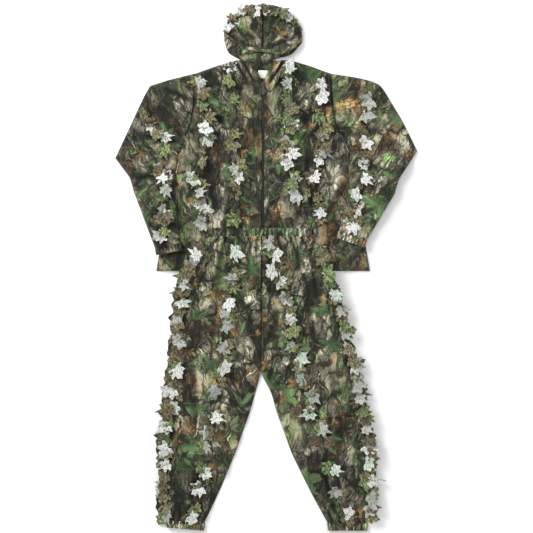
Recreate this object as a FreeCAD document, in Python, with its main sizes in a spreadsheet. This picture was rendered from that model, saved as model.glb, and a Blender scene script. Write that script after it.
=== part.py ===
import FreeCAD, Part

import os
import re

import Sketcher

# A two-piece leafy camouflage suit laid flat: a hooded jacket with a full zip, and elastic-waisted
# trousers whose top lies over the jacket's hem.  +Z is up out of the front of the suit, +Y runs
# towards the hood, and -X is the side called left.  The origin is on the ground under the zip,
# level with the jacket's hem.  Every garment part is a flattened cloth tube with room inside it.

SIZES = {
    # cloth and layers
    "cloth_wall": 2.0,
    "tube_room": 14.0,
    "layer_gap": 1.0,
    "body_gap": 1.0,
    "seam_gap": 0.4,
    "overcut": 6.0,
    # jacket body
    "hem_half": 374.0,
    "armpit_half": 262.0,
    "armpit_up": 500.0,
    "neck_half": 91.0,
    "neck_up": 738.0,
    "shoulder_half": 240.0,
    "shoulder_up": "=neck_up - 48",
    "side_slope": "=(hem_half - armpit_half) / armpit_up",
    "back_neck_drop": 14.0,
    "vee_up": "=neck_up - 72",
    "front_edge": 9.0,
    "facing_half": 70.0,
    "facing_deep": 52.0,
    "facing_thick": 1.0,
    "label_wide": 34.0,
    "label_tall": 28.0,
    "label_thick": 0.8,
    # zip
    "zip_top": "=vee_up - 8",
    "coil_half": 3.5,
    "coil_rise": 2.6,
    "tape_half": 17.0,
    "tape_thick": 1.2,
    "stop_long": 4.0,
    "box_long": 13.0,
    "slider_long": 15.0,
    "slider_plate": 2.0,
    "slider_wall": 1.5,
    "slider_clear": 0.5,
    "lug_thick": 1.0,
    "lug_long": 4.0,
    "bar_radius": 0.8,
    "bar_lift": 3.0,
    "eye_radius": 2.6,
    "eye_clear": 0.4,
    "pull_long": 34.0,
    "pull_half": 4.5,
    "pull_neck": 1.3,
    "pull_thick": 1.6,
    # hood
    "hood_half": 140.0,
    "hood_rise": "=hood_half",
    "hood_mid": "=neck_up + 68",
    "hood_tall": 26.0,
    "brim_up": "=neck_up + 23",
    "brim_deep": 13.0,
    "brim_half": "=hood_half - 36",
    "brim_thick": 3.0,
    # left sleeve
    "left_corner_out": 396.0,
    "left_corner_up": "=shoulder_up - 42",
    "left_elbow_out": 518.0,
    "left_elbow_up": 395.0,
    "left_elbow_in": "=armpit_half + side_slope * (armpit_up - left_elbow_up) + 10.48",
    "left_bend_out": 451.0,
    "left_bend_up": 276.0,
    "left_bend_in": "=armpit_half + side_slope * (armpit_up - left_bend_up) - 3.176",
    "left_cuff_out": 377.0,
    "left_cuff_in": 287.0,
    "left_cuff_out_up": 58.0,
    "left_cuff_in_up": 76.0,
    # right sleeve
    "right_corner_out": 412.0,
    "right_corner_up": "=shoulder_up - 36",
    "right_elbow_out": 540.0,
    "right_elbow_up": 420.0,
    "right_elbow_in": "=armpit_half + side_slope * (armpit_up - right_elbow_up) + 20.08",
    "right_bend_out": 460.0,
    "right_bend_up": 270.0,
    "right_bend_in": "=armpit_half + side_slope * (armpit_up - right_bend_up) - 14.52",
    "right_cuff_out": 362.0,
    "right_cuff_in": 264.0,
    "right_cuff_out_up": 84.0,
    "right_cuff_in_up": 117.0,
    "cuff_long": 24.0,
    "sleeve_ramp": 66.0,
    # trousers
    "centre_shift": 6.0,
    "waist_up": 150.0,
    "waist_deep": 30.0,
    "elastic_thick": 1.4,
    "elastic_clear": 0.3,
    "elastic_inset": 3.0,
    "hem_ramp_start": 10.0,
    "hem_ramp_end": 90.0,
    "crotch_down": 367.0,
    "knee_down": 640.0,
    "left_waist_out": 178.0,
    "right_waist_out": 168.0,
    "left_hip_out": 262.0,
    "right_hip_out": 262.0,
    "hip_down": 120.0,
    "left_thigh_out": 276.0,
    "right_thigh_out": 312.0,
    "left_knee_out": 321.0,
    "right_knee_out": 362.0,
    "left_knee_in": 98.0,
    "right_knee_in": 101.0,
    "left_ankle_out": 334.0,
    "right_ankle_out": 364.0,
    "left_ankle_in": 206.0,
    "right_ankle_in": 226.0,
    "ankle_down": 905.0,
    "ankle_long": 24.0,
    # leaf strips
    "strip_width": 38.0,
    "strip_rise": 14.0,
    "strip_clear": 14.0,
}

TUBE = "(2 * cloth_wall + tube_room)"
UPPER = "(2 * cloth_wall + tube_room + layer_gap)"
SIDES = {"left": -1, "right": 1}

doc = FreeCAD.newDocument("leafy_suit")
sheet = doc.addObject("Spreadsheet::Sheet", "Sizes")
for row, (alias, number) in enumerate(SIZES.items(), start=1):
    sheet.set(f"A{row}", alias)
    sheet.set(f"B{row}", str(number))
    sheet.setAlias(f"B{row}", alias)
doc.recompute()

nodes = []


def bound(words):
    """Turn an expression in size names into one that reads the spreadsheet."""
    return re.sub(r"[a-z_]+", lambda found: "Sizes." + found.group(), str(words))


def value(words):
    """Return the present number of an expression in size names."""
    return float(sheet.evalExpression(bound(words)))


def signed(side, words):
    """Place a distance from the centre line on one side of it."""
    return f"{SIDES[side]} * ({words})"


def keep(thing, label):
    """Give a finished sub-part its name and list it as a node."""
    thing.Label = label
    nodes.append(thing)
    return thing


# ---- sketches and solids ------------------------------------------------------------------------

def fill_outline(sketch, points):
    """Draw a closed outline whose corners are bound to the sheet, both ways from the origin."""
    corners = [FreeCAD.Vector(value(across), value(along), 0) for across, along in points]
    count = len(corners)
    for index, corner in enumerate(corners):
        sketch.addGeometry(Part.LineSegment(corner, corners[(index + 1) % count]), False)
    for index in range(count):
        sketch.addConstraint(Sketcher.Constraint("Coincident", index, 2, (index + 1) % count, 1))
    for index, corner in enumerate(points):
        for kind, words in zip(("DistanceX", "DistanceY"), corner):
            where = sketch.addConstraint(Sketcher.Constraint(kind, -1, 1, index, 1, value(words)))
            name = f"{kind}{index}"
            sketch.renameConstraint(where, name)
            sketch.setExpression(f"Constraints.{name}", bound(words))


def body_sketch(body, name, points, height):
    """Draw an outline in a body, parallel to its ground plane at a given height."""
    sketch = body.newObject("Sketcher::SketchObject", name)
    ground = [plane for plane in body.Origin.OriginFeatures if plane.Role == "XY_Plane"][0]
    sketch.AttachmentSupport = [(ground, "")]
    sketch.MapMode = "FlatFace"
    sketch.setExpression("AttachmentOffset.Base.z", bound(height))
    fill_outline(sketch, points)
    return sketch


def padded_body(label, points, height, thickness):
    """Make a flat piece: an outline padded upwards."""
    body = doc.addObject("PartDesign::Body", label)
    pad = body.newObject("PartDesign::Pad", label + "_pad")
    pad.Profile = body_sketch(body, label + "_outline", points, height)
    pad.setExpression("Length", bound(thickness))
    body.Tip = pad
    return keep(body, label)


def hollow_out(body, points, height, depth):
    """Cut an outline upwards into a body, and make sure that it removes cloth."""
    doc.recompute()
    before = body.Shape.Volume
    pocket = body.newObject("PartDesign::Pocket", body.Label + "_pocket")
    pocket.Profile = body_sketch(body, body.Label + "_inside", points, height)
    pocket.Reversed = True
    pocket.setExpression("Length", bound(depth))
    body.Tip = pocket
    doc.recompute()
    if body.Shape.Volume > before - 1.0:
        raise ValueError(body.Label + ": the pocket cuts nothing")
    return body


def prism(name, points, height, thickness):
    """Make a helper solid: an outline extruded upwards."""
    sketch = doc.addObject("Sketcher::SketchObject", name + "_outline")
    fill_outline(sketch, points)
    sketch.setExpression("Placement.Base.z", bound(height))
    solid = doc.addObject("Part::Extrusion", name)
    solid.Base = sketch
    solid.DirMode = "Custom"
    solid.Dir = FreeCAD.Vector(0, 0, 1)
    solid.Solid = True
    solid.setExpression("LengthFwd", bound(thickness))
    return solid


def lengthwise_slab(name, profile, low, high):
    """Make a layer that follows a (Y, height) profile, from one lift above it to another."""
    under = [(along, f"{up} + {low}") for along, up in profile]
    over = [(along, f"{up} + {high}") for along, up in reversed(profile)]
    sketch = doc.addObject("Sketcher::SketchObject", name + "_outline")
    fill_outline(sketch, under + over)
    sketch.Placement = FreeCAD.Placement(
        FreeCAD.Vector(0, 0, 0), FreeCAD.Rotation(FreeCAD.Vector(1, 1, 1), 120))
    solid = doc.addObject("Part::Extrusion", name)
    solid.Base = sketch
    solid.DirMode = "Custom"
    solid.Dir = FreeCAD.Vector(1, 0, 0)
    solid.Solid = True
    solid.Symmetric = True
    solid.setExpression("LengthFwd", bound("4 * hem_half"))
    return solid


def common(name, first, second):
    """Keep what two solids share."""
    both = doc.addObject("Part::MultiCommon", name)
    both.Shapes = [first, second]
    return both


def cut(name, base, tool):
    """Take one solid out of another."""
    rest = doc.addObject("Part::Cut", name)
    rest.Base = base
    rest.Tool = tool
    return rest


def block(name, low, high):
    """Make a box from its lowest to its highest corner, each given in size names."""
    box = doc.addObject("Part::Box", name)
    for axis, size, start, end in zip("xyz", ("Length", "Width", "Height"), low, high):
        box.setExpression(f"Placement.Base.{axis}", bound(start))
        box.setExpression(size, bound(f"({end}) - ({start})"))
    return box


# ---- flattened tubes ----------------------------------------------------------------------------

def outline_of(side, outer, inner):
    """Join an outer and an inner edge, both listed from the top down, into one outline."""
    path = outer + inner[::-1]
    return [(signed(side, across), along) for across, along in path]


def flat_tube(label, side, outer, inner, room):
    """Make the back and front cloth of a tube that lies on the ground."""
    back = padded_body(label + "_back", outline_of(side, outer, inner), "0", "cloth_wall")
    front = padded_body(label + "_front", outline_of(side, outer, inner), "cloth_wall",
                        "tube_room + cloth_wall")
    hollow_out(front, room, "cloth_wall", "tube_room")
    return back, front


def past_both_ends(edge, shift):
    """Move an edge sideways by the cloth and run it past its top and its bottom."""
    moved = [(f"{across} {shift} cloth_wall", along) for across, along in edge]
    return ([(moved[0][0], f"{moved[0][1]} + overcut")] + moved
            + [(moved[-1][0], f"{moved[-1][1]} - overcut")])


def room_outline(side, outer, inner):
    """Outline the room in a tube that is open at both ends."""
    return outline_of(side, past_both_ends(outer, "-"), past_both_ends(inner, "+"))


def draped_tube(label, outline, room, profile):
    """Make the back and front cloth of a tube that climbs along a lengthwise profile."""
    whole = prism(label + "_plan", outline, "-overcut", f"3 * {UPPER}")
    back_slab = lengthwise_slab(label + "_back_layer", profile, "0", "cloth_wall")
    front_slab = lengthwise_slab(label + "_front_layer", profile, "cloth_wall", TUBE)
    room_slab = lengthwise_slab(label + "_room_layer", profile, "cloth_wall",
                                "cloth_wall + tube_room")
    hollow = common(label + "_hollow", prism(label + "_room_plan", room, "-overcut", f"3 * {UPPER}"),
                    room_slab)
    back = keep(common(label + "_back", whole, back_slab), label + "_back")
    shell = common(label + "_shell", whole, front_slab)
    front = keep(cut(label + "_front", shell, hollow), label + "_front")
    return back, front


def casing(label, outline, room, height):
    """Make the flattened tube of cloth that holds an elastic."""
    outer = prism(label + "_casing_plan", outline, height, TUBE)
    inner = prism(label + "_casing_room", room, f"{height} + cloth_wall", "tube_room")
    keep(cut(label + "_casing", outer, inner), label + "_casing")


def ring(label, plan, room, height):
    """Make the flattened ring of elastic that lines a casing."""
    outer = prism(label + "_plan", plan, f"{height} + cloth_wall + elastic_clear",
                  "tube_room - 2 * elastic_clear")
    inner = prism(label + "_room", room, f"{height} + cloth_wall + elastic_clear + elastic_thick",
                  "tube_room - 2 * elastic_clear - 2 * elastic_thick")
    keep(cut(label, outer, inner), label)


def gathered_end(label, left, right, height):
    """Make a casing and its elastic.  Left and right are (across, top, bottom) of the two ends."""
    def plan(inset, past):
        """Outline of the band, inset at the sides and moved at its two open edges."""
        (left_x, left_top, left_end), (right_x, right_top, right_end) = left, right
        return [(f"{left_x} + ({inset})", f"{left_top} + ({past})"),
                (f"{right_x} - ({inset})", f"{right_top} + ({past})"),
                (f"{right_x} - ({inset})", f"{right_end} - ({past})"),
                (f"{left_x} + ({inset})", f"{left_end} - ({past})")]
    casing(label, plan("0", "0"), plan("cloth_wall", "overcut"), height)
    ring(label + "_elastic", plan("cloth_wall + elastic_clear", "-elastic_inset"),
         plan("cloth_wall + elastic_clear + elastic_thick", "overcut"), height)


# ---- leaf strips --------------------------------------------------------------------------------

def edge_at(edge, level):
    """Find how far out an edge, a list of (across, along), lies at one level."""
    ordered = sorted(((value(along), value(across)) for across, along in edge))
    for (low, low_out), (high, high_out) in zip(ordered, ordered[1:]):
        if low <= level <= high:
            share = (level - low) / (high - low)
            return low_out + share * (high_out - low_out)
    return ordered[0][1] if level < ordered[0][0] else ordered[-1][1]


def strip_route(side, outer, inner, shares, top, bottom):
    """Turn (share across, share down) pairs into points between two edges of a panel."""
    route = []
    for across, down in shares:
        level = top + down * (bottom - top)
        inside = edge_at(inner, level)
        reach = inside + across * (edge_at(outer, level) - inside)
        route.append(FreeCAD.Vector(SIDES[side] * reach, level, 0))
    return route


def ribbon_face(route):
    """Widen a route to a flat ribbon, mitred at its bends."""
    half = value("strip_width") / 2
    left_side = []
    right_side = []
    for index, point in enumerate(route):
        before = route[max(index - 1, 0)]
        after = route[min(index + 1, len(route) - 1)]
        along = (after - before).normalize()
        across = FreeCAD.Vector(-along.y, along.x, 0) * half
        left_side.append(point + across)
        right_side.append(point - across)
    corners = left_side + right_side[::-1]
    return Part.Face(Part.makePolygon(corners + [corners[0]]))


def leaf_strip(label, route, layer=None, height="0"):
    """Lay a ribbon of sewn leaves on a panel, or along a sloping layer of it."""
    if layer is None:
        solid = ribbon_face(route).extrude(FreeCAD.Vector(0, 0, value("strip_rise")))
    else:
        tall = ribbon_face(route).extrude(FreeCAD.Vector(0, 0, value(f"4 * {UPPER}")))
        doc.recompute()
        solid = tall.common(layer.Shape).Solids[0]
    strip = doc.addObject("Part::Feature", label)
    strip.Shape = solid
    strip.Placement = FreeCAD.Placement(FreeCAD.Vector(0, 0, value(height)), FreeCAD.Rotation())
    return keep(strip, label)


# ---- jacket body --------------------------------------------------------------------------------

SIDE_EDGE = [("neck_half", "neck_up"), ("shoulder_half", "shoulder_up"),
             ("armpit_half", "armpit_up"), ("hem_half", "0")]
FRONT_EDGE = [("front_edge", "vee_up"), ("front_edge", "0")]


def make_jacket():
    """Make the back, the two fronts and what is sewn inside the neck."""
    back = ([(signed("left", x), y) for x, y in SIDE_EDGE[::-1]] + [("0", "neck_up - back_neck_drop")]
            + [(signed("right", x), y) for x, y in SIDE_EDGE])
    padded_body("jacket_back", back, "0", "cloth_wall")
    room = [("hem_half - cloth_wall", "-overcut"), ("hem_half - cloth_wall", "0"),
            ("armpit_half - cloth_wall", "armpit_up"),
            ("armpit_half + overcut", "armpit_up"), ("shoulder_half + overcut", "shoulder_up - cloth_wall"),
            ("neck_half", "neck_up - cloth_wall"), ("0", "neck_up - cloth_wall"), ("0", "-overcut")]
    for side in SIDES:
        front = padded_body(f"jacket_front_{side}", outline_of(side, SIDE_EDGE, FRONT_EDGE),
                            "cloth_wall", "tube_room + cloth_wall")
        hollow_out(front, [(signed(side, x), y) for x, y in room], "cloth_wall", "tube_room")
    facing_top = "neck_up - back_neck_drop"
    padded_body("neck_facing",
                [("-facing_half", facing_top), ("facing_half", facing_top),
                 ("facing_half / 2", f"{facing_top} - facing_deep"),
                 ("-facing_half / 2", f"{facing_top} - facing_deep")],
                "cloth_wall", "facing_thick")
    label_end = f"{facing_top} - facing_deep + cloth_wall"
    padded_body("neck_label",
                [("-label_wide / 2", label_end), ("label_wide / 2", label_end),
                 ("label_wide / 2", f"{label_end} + label_tall"),
                 ("-label_wide / 2", f"{label_end} + label_tall")],
                "cloth_wall + facing_thick", "label_thick")


def make_zip():
    """Make the two tapes and coils, the end pieces, the slider and its pull."""
    tape_low = "cloth_wall + tube_room - tape_thick"
    tape_high = "cloth_wall + tube_room"
    coil_high = f"{tape_high} + coil_rise"
    stops = []
    for side in SIDES:
        near = "seam_gap / 2"
        tape = f"zip_tape_{side}"
        keep(side_block(tape, side, ("coil_half", "tape_half"), ("0", "zip_top + stop_long"),
                        (tape_low, tape_high)), tape)
        coil = f"zip_coil_{side}"
        keep(side_block(coil, side, (near, "coil_half"), ("box_long", "zip_top"),
                        (tape_low, coil_high)), coil)
        end_piece = "zip_pin" if side == "left" else "zip_box"
        keep(side_block(end_piece, side, (near, "coil_half"), ("0", "box_long"),
                        (tape_low, coil_high)), end_piece)
        stops.append(side_block(f"zip_stop_{side}", side, (near, "coil_half"),
                                ("zip_top", "zip_top + stop_long"), (tape_low, coil_high)))
    both_stops = doc.addObject("Part::Compound", "zip_stop_pair")
    both_stops.Links = stops
    keep(both_stops, "zip_top_stops")
    make_slider(coil_high, tape_high)


def side_block(name, side, across, along, up):
    """Make a box beside the centre line, from its near and far distances from it."""
    near, far = across
    if side == "left":
        near, far = f"-({across[1]})", f"-({across[0]})"
    return block(name, (near, along[0], up[0]), (far, along[1], up[1]))


def make_slider(coil_high, tape_high):
    """Make the slider that caps the coils, with a bar that the pull swings on."""
    plate_low = f"{coil_high} + slider_clear"
    plate_high = f"{plate_low} + slider_plate"
    inside = "coil_half + slider_clear"
    outside = "coil_half + slider_clear + slider_wall"
    far = "zip_top - slider_clear"
    near = f"{far} - slider_long"
    middle = f"{far} - slider_long / 2"
    flange_low = f"{tape_high} + slider_clear"
    lug_high = f"{plate_high} + bar_lift + 2 * bar_radius"
    parts = [block("slider_plate_block", (f"-({outside})", near, plate_low), (outside, far, plate_high))]
    for side in SIDES:
        parts.append(side_block(f"slider_flange_{side}", side, (inside, outside), (near, far),
                                (flange_low, plate_low)))
        parts.append(side_block(f"slider_lug_{side}", side,
                                ("pull_neck + eye_clear", "pull_neck + eye_clear + lug_thick"),
                                (f"{middle} - lug_long / 2", f"{middle} + lug_long / 2"),
                                (plate_high, lug_high)))
    bar_half = "pull_neck + eye_clear + lug_thick"
    bar_up = f"{plate_high} + bar_lift"
    parts.append(cross_rod("slider_bar", "bar_radius", bar_half, middle, bar_up))
    slider = doc.addObject("Part::MultiFuse", "zip_slider_solid")
    slider.Shapes = parts
    keep(slider, "zip_slider")
    make_pull(middle, bar_up)


def cross_rod(name, radius, half, along, up):
    """Make a rod that lies across the suit, centred on the zip."""
    rod = doc.addObject("Part::Cylinder", name)
    rod.setExpression("Radius", bound(radius))
    rod.setExpression("Height", bound(f"2 * ({half})"))
    rod.Placement = FreeCAD.Placement(FreeCAD.Vector(0, 0, 0), FreeCAD.Rotation(FreeCAD.Vector(0, 1, 0), 90))
    rod.setExpression("Placement.Base.x", bound(f"-({half})"))
    rod.setExpression("Placement.Base.y", bound(along))
    rod.setExpression("Placement.Base.z", bound(up))
    return rod


def make_pull(along, up):
    """Make the pull tab, with an eye round the slider's bar."""
    eye = cross_rod("pull_eye", "eye_radius", "pull_neck", along, up)
    shank = block("pull_shank", ("-pull_neck", f"{along} - eye_radius - lug_long", f"{up} - pull_thick / 2"),
                  ("pull_neck", along, f"{up} + pull_thick / 2"))
    tab = block("pull_tab", ("-pull_half", f"{along} - pull_long", f"{up} - pull_thick / 2"),
                ("pull_half", f"{along} - eye_radius - lug_long + eye_clear", f"{up} + pull_thick / 2"))
    solid = doc.addObject("Part::MultiFuse", "zip_pull_solid")
    solid.Shapes = [eye, shank, tab]
    hole = cross_rod("pull_hole", "bar_radius + eye_clear", "pull_neck + overcut", along, up)
    keep(cut("zip_pull", solid, hole), "zip_pull")


# ---- hood ---------------------------------------------------------------------------------------

def crown(name, inset, height, thickness):
    """Make an oval prism the shape of the hood lying flat."""
    oval = doc.addObject("Part::Ellipse", name + "_oval")
    oval.setExpression("MajorRadius", bound(f"hood_half - {inset}"))
    oval.setExpression("MinorRadius", bound(f"hood_rise - {inset} - 0.01"))
    oval.setExpression("Placement.Base.y", bound("hood_mid"))
    oval.setExpression("Placement.Base.z", bound(height))
    solid = doc.addObject("Part::Extrusion", name)
    solid.Base = oval
    solid.DirMode = "Custom"
    solid.Dir = FreeCAD.Vector(0, 0, 1)
    solid.Solid = True
    solid.setExpression("LengthFwd", bound(thickness))
    return solid


def make_hood():
    """Make the two hood panels, which meet at the middle seam, and the hemmed brim."""
    foot = "neck_up + body_gap + cloth_wall"
    shell = cut("hood_shell", crown("hood_outside", "0", "0", "hood_tall"),
                crown("hood_inside", "cloth_wall", "cloth_wall", "hood_tall - 2 * cloth_wall"))
    face = block("face_opening", ("-brim_half", f"{foot} - overcut", "cloth_wall"),
                 ("brim_half", "brim_up", "hood_tall + overcut"))
    opened = cut("hood_opened", shell, face)
    for side, sign in SIDES.items():
        low, high = "seam_gap / 2", "hood_half + overcut"
        if sign < 0:
            low, high = f"-({high})", f"-({low})"
        half = block(f"hood_half_{side}", (low, foot, "-overcut"),
                     (high, "hood_mid + hood_rise + overcut", "hood_tall + overcut"))
        keep(common(f"hood_panel_{side}", opened, half), f"hood_panel_{side}")
    keep(block("hood_brim", ("-brim_half", "brim_up - brim_deep", "hood_tall - brim_thick"),
               ("brim_half", "brim_up", "hood_tall")), "hood_brim")
    route = []
    for share, level in ((-0.80, -0.02), (-0.70, 0.42), (-0.34, 0.72), (0.0, 0.80),
                         (0.34, 0.72), (0.70, 0.42), (0.80, -0.02)):
        route.append(FreeCAD.Vector(share * value("hood_half"),
                                    value("hood_mid") + level * value("hood_rise"), 0))
    leaf_strip("hood_leaf_strip", route, height="hood_tall")


# ---- sleeves ------------------------------------------------------------------------------------

def sleeve_edges(side):
    """List the edges of the upper sleeve and of the forearm, each from the top down."""
    upper_outer = [("shoulder_half + body_gap", "shoulder_up"),
                   (f"{side}_corner_out", f"{side}_corner_up"),
                   (f"{side}_elbow_out", f"{side}_elbow_up")]
    upper_inner = [("shoulder_half + body_gap", "shoulder_up"), ("armpit_half + body_gap", "armpit_up"),
                   (f"{side}_elbow_in", f"{side}_elbow_up")]
    lower_outer = [(f"{side}_elbow_out", f"{side}_elbow_up - body_gap"),
                   (f"{side}_bend_out", f"{side}_bend_up"),
                   (f"{side}_cuff_out", f"{side}_cuff_out_up + cuff_long")]
    lower_inner = [(f"{side}_elbow_in", f"{side}_elbow_up - body_gap"),
                   (f"{side}_bend_in", f"{side}_bend_up"),
                   (f"{side}_cuff_in", f"{side}_cuff_in_up + cuff_long")]
    return upper_outer, upper_inner, lower_outer, lower_inner


def make_sleeve(side):
    """Make an upper sleeve, a forearm that climbs over the jacket's side, and the cuff."""
    upper_outer, upper_inner, lower_outer, lower_inner = sleeve_edges(side)
    room = [("shoulder_half - overcut", "shoulder_up - cloth_wall"),
            ("shoulder_half + body_gap", "shoulder_up - cloth_wall"),
            (f"{side}_corner_out - cloth_wall", f"{side}_corner_up - cloth_wall"),
            (f"{side}_elbow_out - cloth_wall", f"{side}_elbow_up"),
            (f"{side}_elbow_out - cloth_wall", f"{side}_elbow_up - overcut"),
            (f"{side}_elbow_in + cloth_wall", f"{side}_elbow_up - overcut"),
            (f"{side}_elbow_in + cloth_wall", f"{side}_elbow_up"),
            ("armpit_half + body_gap + cloth_wall", "armpit_up"),
            ("armpit_half - overcut", "armpit_up")]
    outline = upper_outer + upper_inner[:0:-1]
    name = f"upper_sleeve_{side}"
    plan = [(signed(side, x), y) for x, y in outline]
    padded_body(name + "_back", plan, "0", "cloth_wall")
    front = padded_body(name + "_front", plan, "cloth_wall", "tube_room + cloth_wall")
    hollow_out(front, [(signed(side, x), y) for x, y in room], "cloth_wall", "tube_room")
    elbow = f"{side}_elbow_up - body_gap"
    profile = [(f"{elbow} + overcut", "0"), (f"{elbow} - layer_gap", "0"),
               (f"{elbow} - sleeve_ramp", UPPER), ("-2 * overcut", UPPER)]
    name = f"forearm_sleeve_{side}"
    draped_tube(name, outline_of(side, lower_outer, lower_inner),
                room_outline(side, lower_outer, lower_inner), profile)
    ends = {"out": (signed(side, f"{side}_cuff_out"), f"{side}_cuff_out_up + cuff_long", f"{side}_cuff_out_up"),
            "in": (signed(side, f"{side}_cuff_in"), f"{side}_cuff_in_up + cuff_long", f"{side}_cuff_in_up")}
    first, second = ("out", "in") if side == "left" else ("in", "out")
    gathered_end(f"cuff_{side}", ends[first], ends[second], UPPER)
    top, bottom = value("shoulder_up"), value(f"{side}_elbow_up + strip_clear")
    shares = [(0.52, 0.12), (0.60, 0.36), (0.52, 0.66), (0.60, 1.0)]
    leaf_strip(f"upper_sleeve_{side}_leaf_strip",
               strip_route(side, upper_outer, upper_inner, shares, top, bottom), height=TUBE)
    layer = lengthwise_slab(f"forearm_{side}_leaf_layer", profile, TUBE, f"{TUBE} + strip_rise")
    top, bottom = value(f"{side}_elbow_up - strip_clear"), value(f"{side}_cuff_in_up + cuff_long")
    shares = [(0.50, 0.0), (0.42, 0.30), (0.55, 0.62), (0.46, 1.0)]
    leaf_strip(f"forearm_sleeve_{side}_leaf_strip",
               strip_route(side, lower_outer, lower_inner, shares, top, bottom), layer=layer)


# ---- trousers -----------------------------------------------------------------------------------

def leg_edges(side):
    """List the edges of one half of the trousers above the knee, and of the leg below it."""
    middle = f"{-SIDES[side]} * centre_shift + seam_gap / 2"
    outer = [(f"{side}_waist_out", "waist_up - waist_deep"), (f"{side}_hip_out", "-hip_down"),
             (f"{side}_thigh_out", "-crotch_down"), (f"{side}_knee_out", "-knee_down")]
    inner = [(middle, "waist_up - waist_deep"), (middle, "-crotch_down"),
             (f"{side}_knee_in", "-knee_down")]
    shin_outer = [(f"{side}_knee_out", "-knee_down - body_gap"),
                  (f"{side}_ankle_out", "-ankle_down + ankle_long")]
    shin_inner = [(f"{side}_knee_in", "-knee_down - body_gap"),
                  (f"{side}_ankle_in", "-ankle_down + ankle_long")]
    return outer, inner, shin_outer, shin_inner


def make_trouser_half(side):
    """Make a back and a front panel, which drop from the jacket's hem to the ground."""
    outer, inner, shin_outer, shin_inner = leg_edges(side)
    profile = [("waist_up + overcut", UPPER), ("-hem_ramp_start", UPPER), ("-hem_ramp_end", "0"),
               ("-knee_down - overcut", "0")]
    middle = inner[0][0]
    room_inner = [(f"{middle} - overcut", "waist_up - waist_deep"), (f"{middle} - overcut", "-crotch_down"),
                  (f"{middle} + cloth_wall", "-crotch_down"),
                  (f"{side}_knee_in + cloth_wall", "-knee_down")]
    outside = [(f"{x} - cloth_wall", y) for x, y in outer]
    room = ([(outside[0][0], "waist_up - waist_deep + overcut")] + outside
            + [(outside[-1][0], "-knee_down - overcut"), (room_inner[-1][0], "-knee_down - overcut")]
            + room_inner[::-1] + [(room_inner[0][0], "waist_up - waist_deep + overcut")])
    name = f"trousers_{side}"
    draped_tube(name, outline_of(side, outer, inner), [(signed(side, x), y) for x, y in room], profile)
    layer = lengthwise_slab(name + "_leaf_layer", profile, TUBE, f"{TUBE} + strip_rise")
    top, bottom = value("waist_up - waist_deep - cloth_wall"), value("-knee_down + strip_clear")
    front_shares = {"left": [(0.17, 0.0), (0.10, 0.21), (0.18, 0.32), (0.20, 0.50), (0.34, 0.72), (0.47, 1.0)],
                    "right": [(0.17, 0.0), (0.18, 0.20), (0.34, 0.30), (0.44, 0.52), (0.38, 0.75), (0.35, 1.0)]}
    leaf_strip(name + "_front_leaf_strip",
               strip_route(side, outer, inner, front_shares[side], top, bottom), layer=layer)
    outer_shares = [(0.90, 0.16), (0.92, 0.40), (0.91, 0.68), (0.91, 1.0)]
    leaf_strip(name + "_outer_leaf_strip",
               strip_route(side, outer, inner, outer_shares, top, bottom), layer=layer)
    make_lower_leg(side, shin_outer, shin_inner)


def make_lower_leg(side, outer, inner):
    """Make the leg below the knee, its gathered ankle and its leaf strips."""
    name = f"lower_leg_{side}"
    flat_tube(name, side, outer, inner, room_outline(side, outer, inner))
    ends = {"out": (signed(side, f"{side}_ankle_out"), "-ankle_down + ankle_long", "-ankle_down"),
            "in": (signed(side, f"{side}_ankle_in"), "-ankle_down + ankle_long", "-ankle_down")}
    first, second = ("out", "in") if side == "left" else ("in", "out")
    gathered_end(f"ankle_{side}", ends[first], ends[second], "0")
    top, bottom = value("-knee_down - strip_clear"), value("-ankle_down + ankle_long + cloth_wall")
    for place, shares in (("front", [(0.45, 0.0), (0.52, 0.5), (0.50, 1.0)]),
                          ("outer", [(0.90, 0.0), (0.88, 0.5), (0.84, 1.0)])):
        leaf_strip(f"{name}_{place}_leaf_strip",
                   strip_route(side, outer, inner, shares, top, bottom), height=TUBE)


def make_waist():
    """Make the waistband's casing and its elastic, lying over the jacket."""
    left = ("-left_waist_out", "waist_up", "waist_up - waist_deep")
    right = ("right_waist_out", "waist_up", "waist_up - waist_deep")
    gathered_end("waist", left, right, UPPER)


# ---- leaf strips of the jacket ------------------------------------------------------------------

def make_jacket_strips():
    """Lay two leaf strips down each front, from the shoulder towards the trousers."""
    routes = {
        "jacket_leaf_strip_left_outer": ("left", [(0.86, 0.05), (0.80, 0.30), (0.70, 0.62), (0.66, 1.0)]),
        "jacket_leaf_strip_left_inner": ("left", [(0.42, 0.03), (0.36, 0.35), (0.30, 0.70), (0.26, 1.0)]),
        "jacket_leaf_strip_right_inner": ("right", [(0.36, 0.0), (0.38, 0.28), (0.36, 0.66), (0.30, 1.0)]),
        "jacket_leaf_strip_right_outer": ("right", [(0.86, 0.05), (0.84, 0.34), (0.66, 0.66), (0.64, 1.0)]),
    }
    for label, (side, shares) in routes.items():
        top, bottom = value("shoulder_up - strip_clear"), value("waist_up + strip_clear")
        leaf_strip(label, strip_route(side, SIDE_EDGE, FRONT_EDGE, shares, top, bottom), height=TUBE)


# ---- build, check and write ---------------------------------------------------------------------

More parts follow.
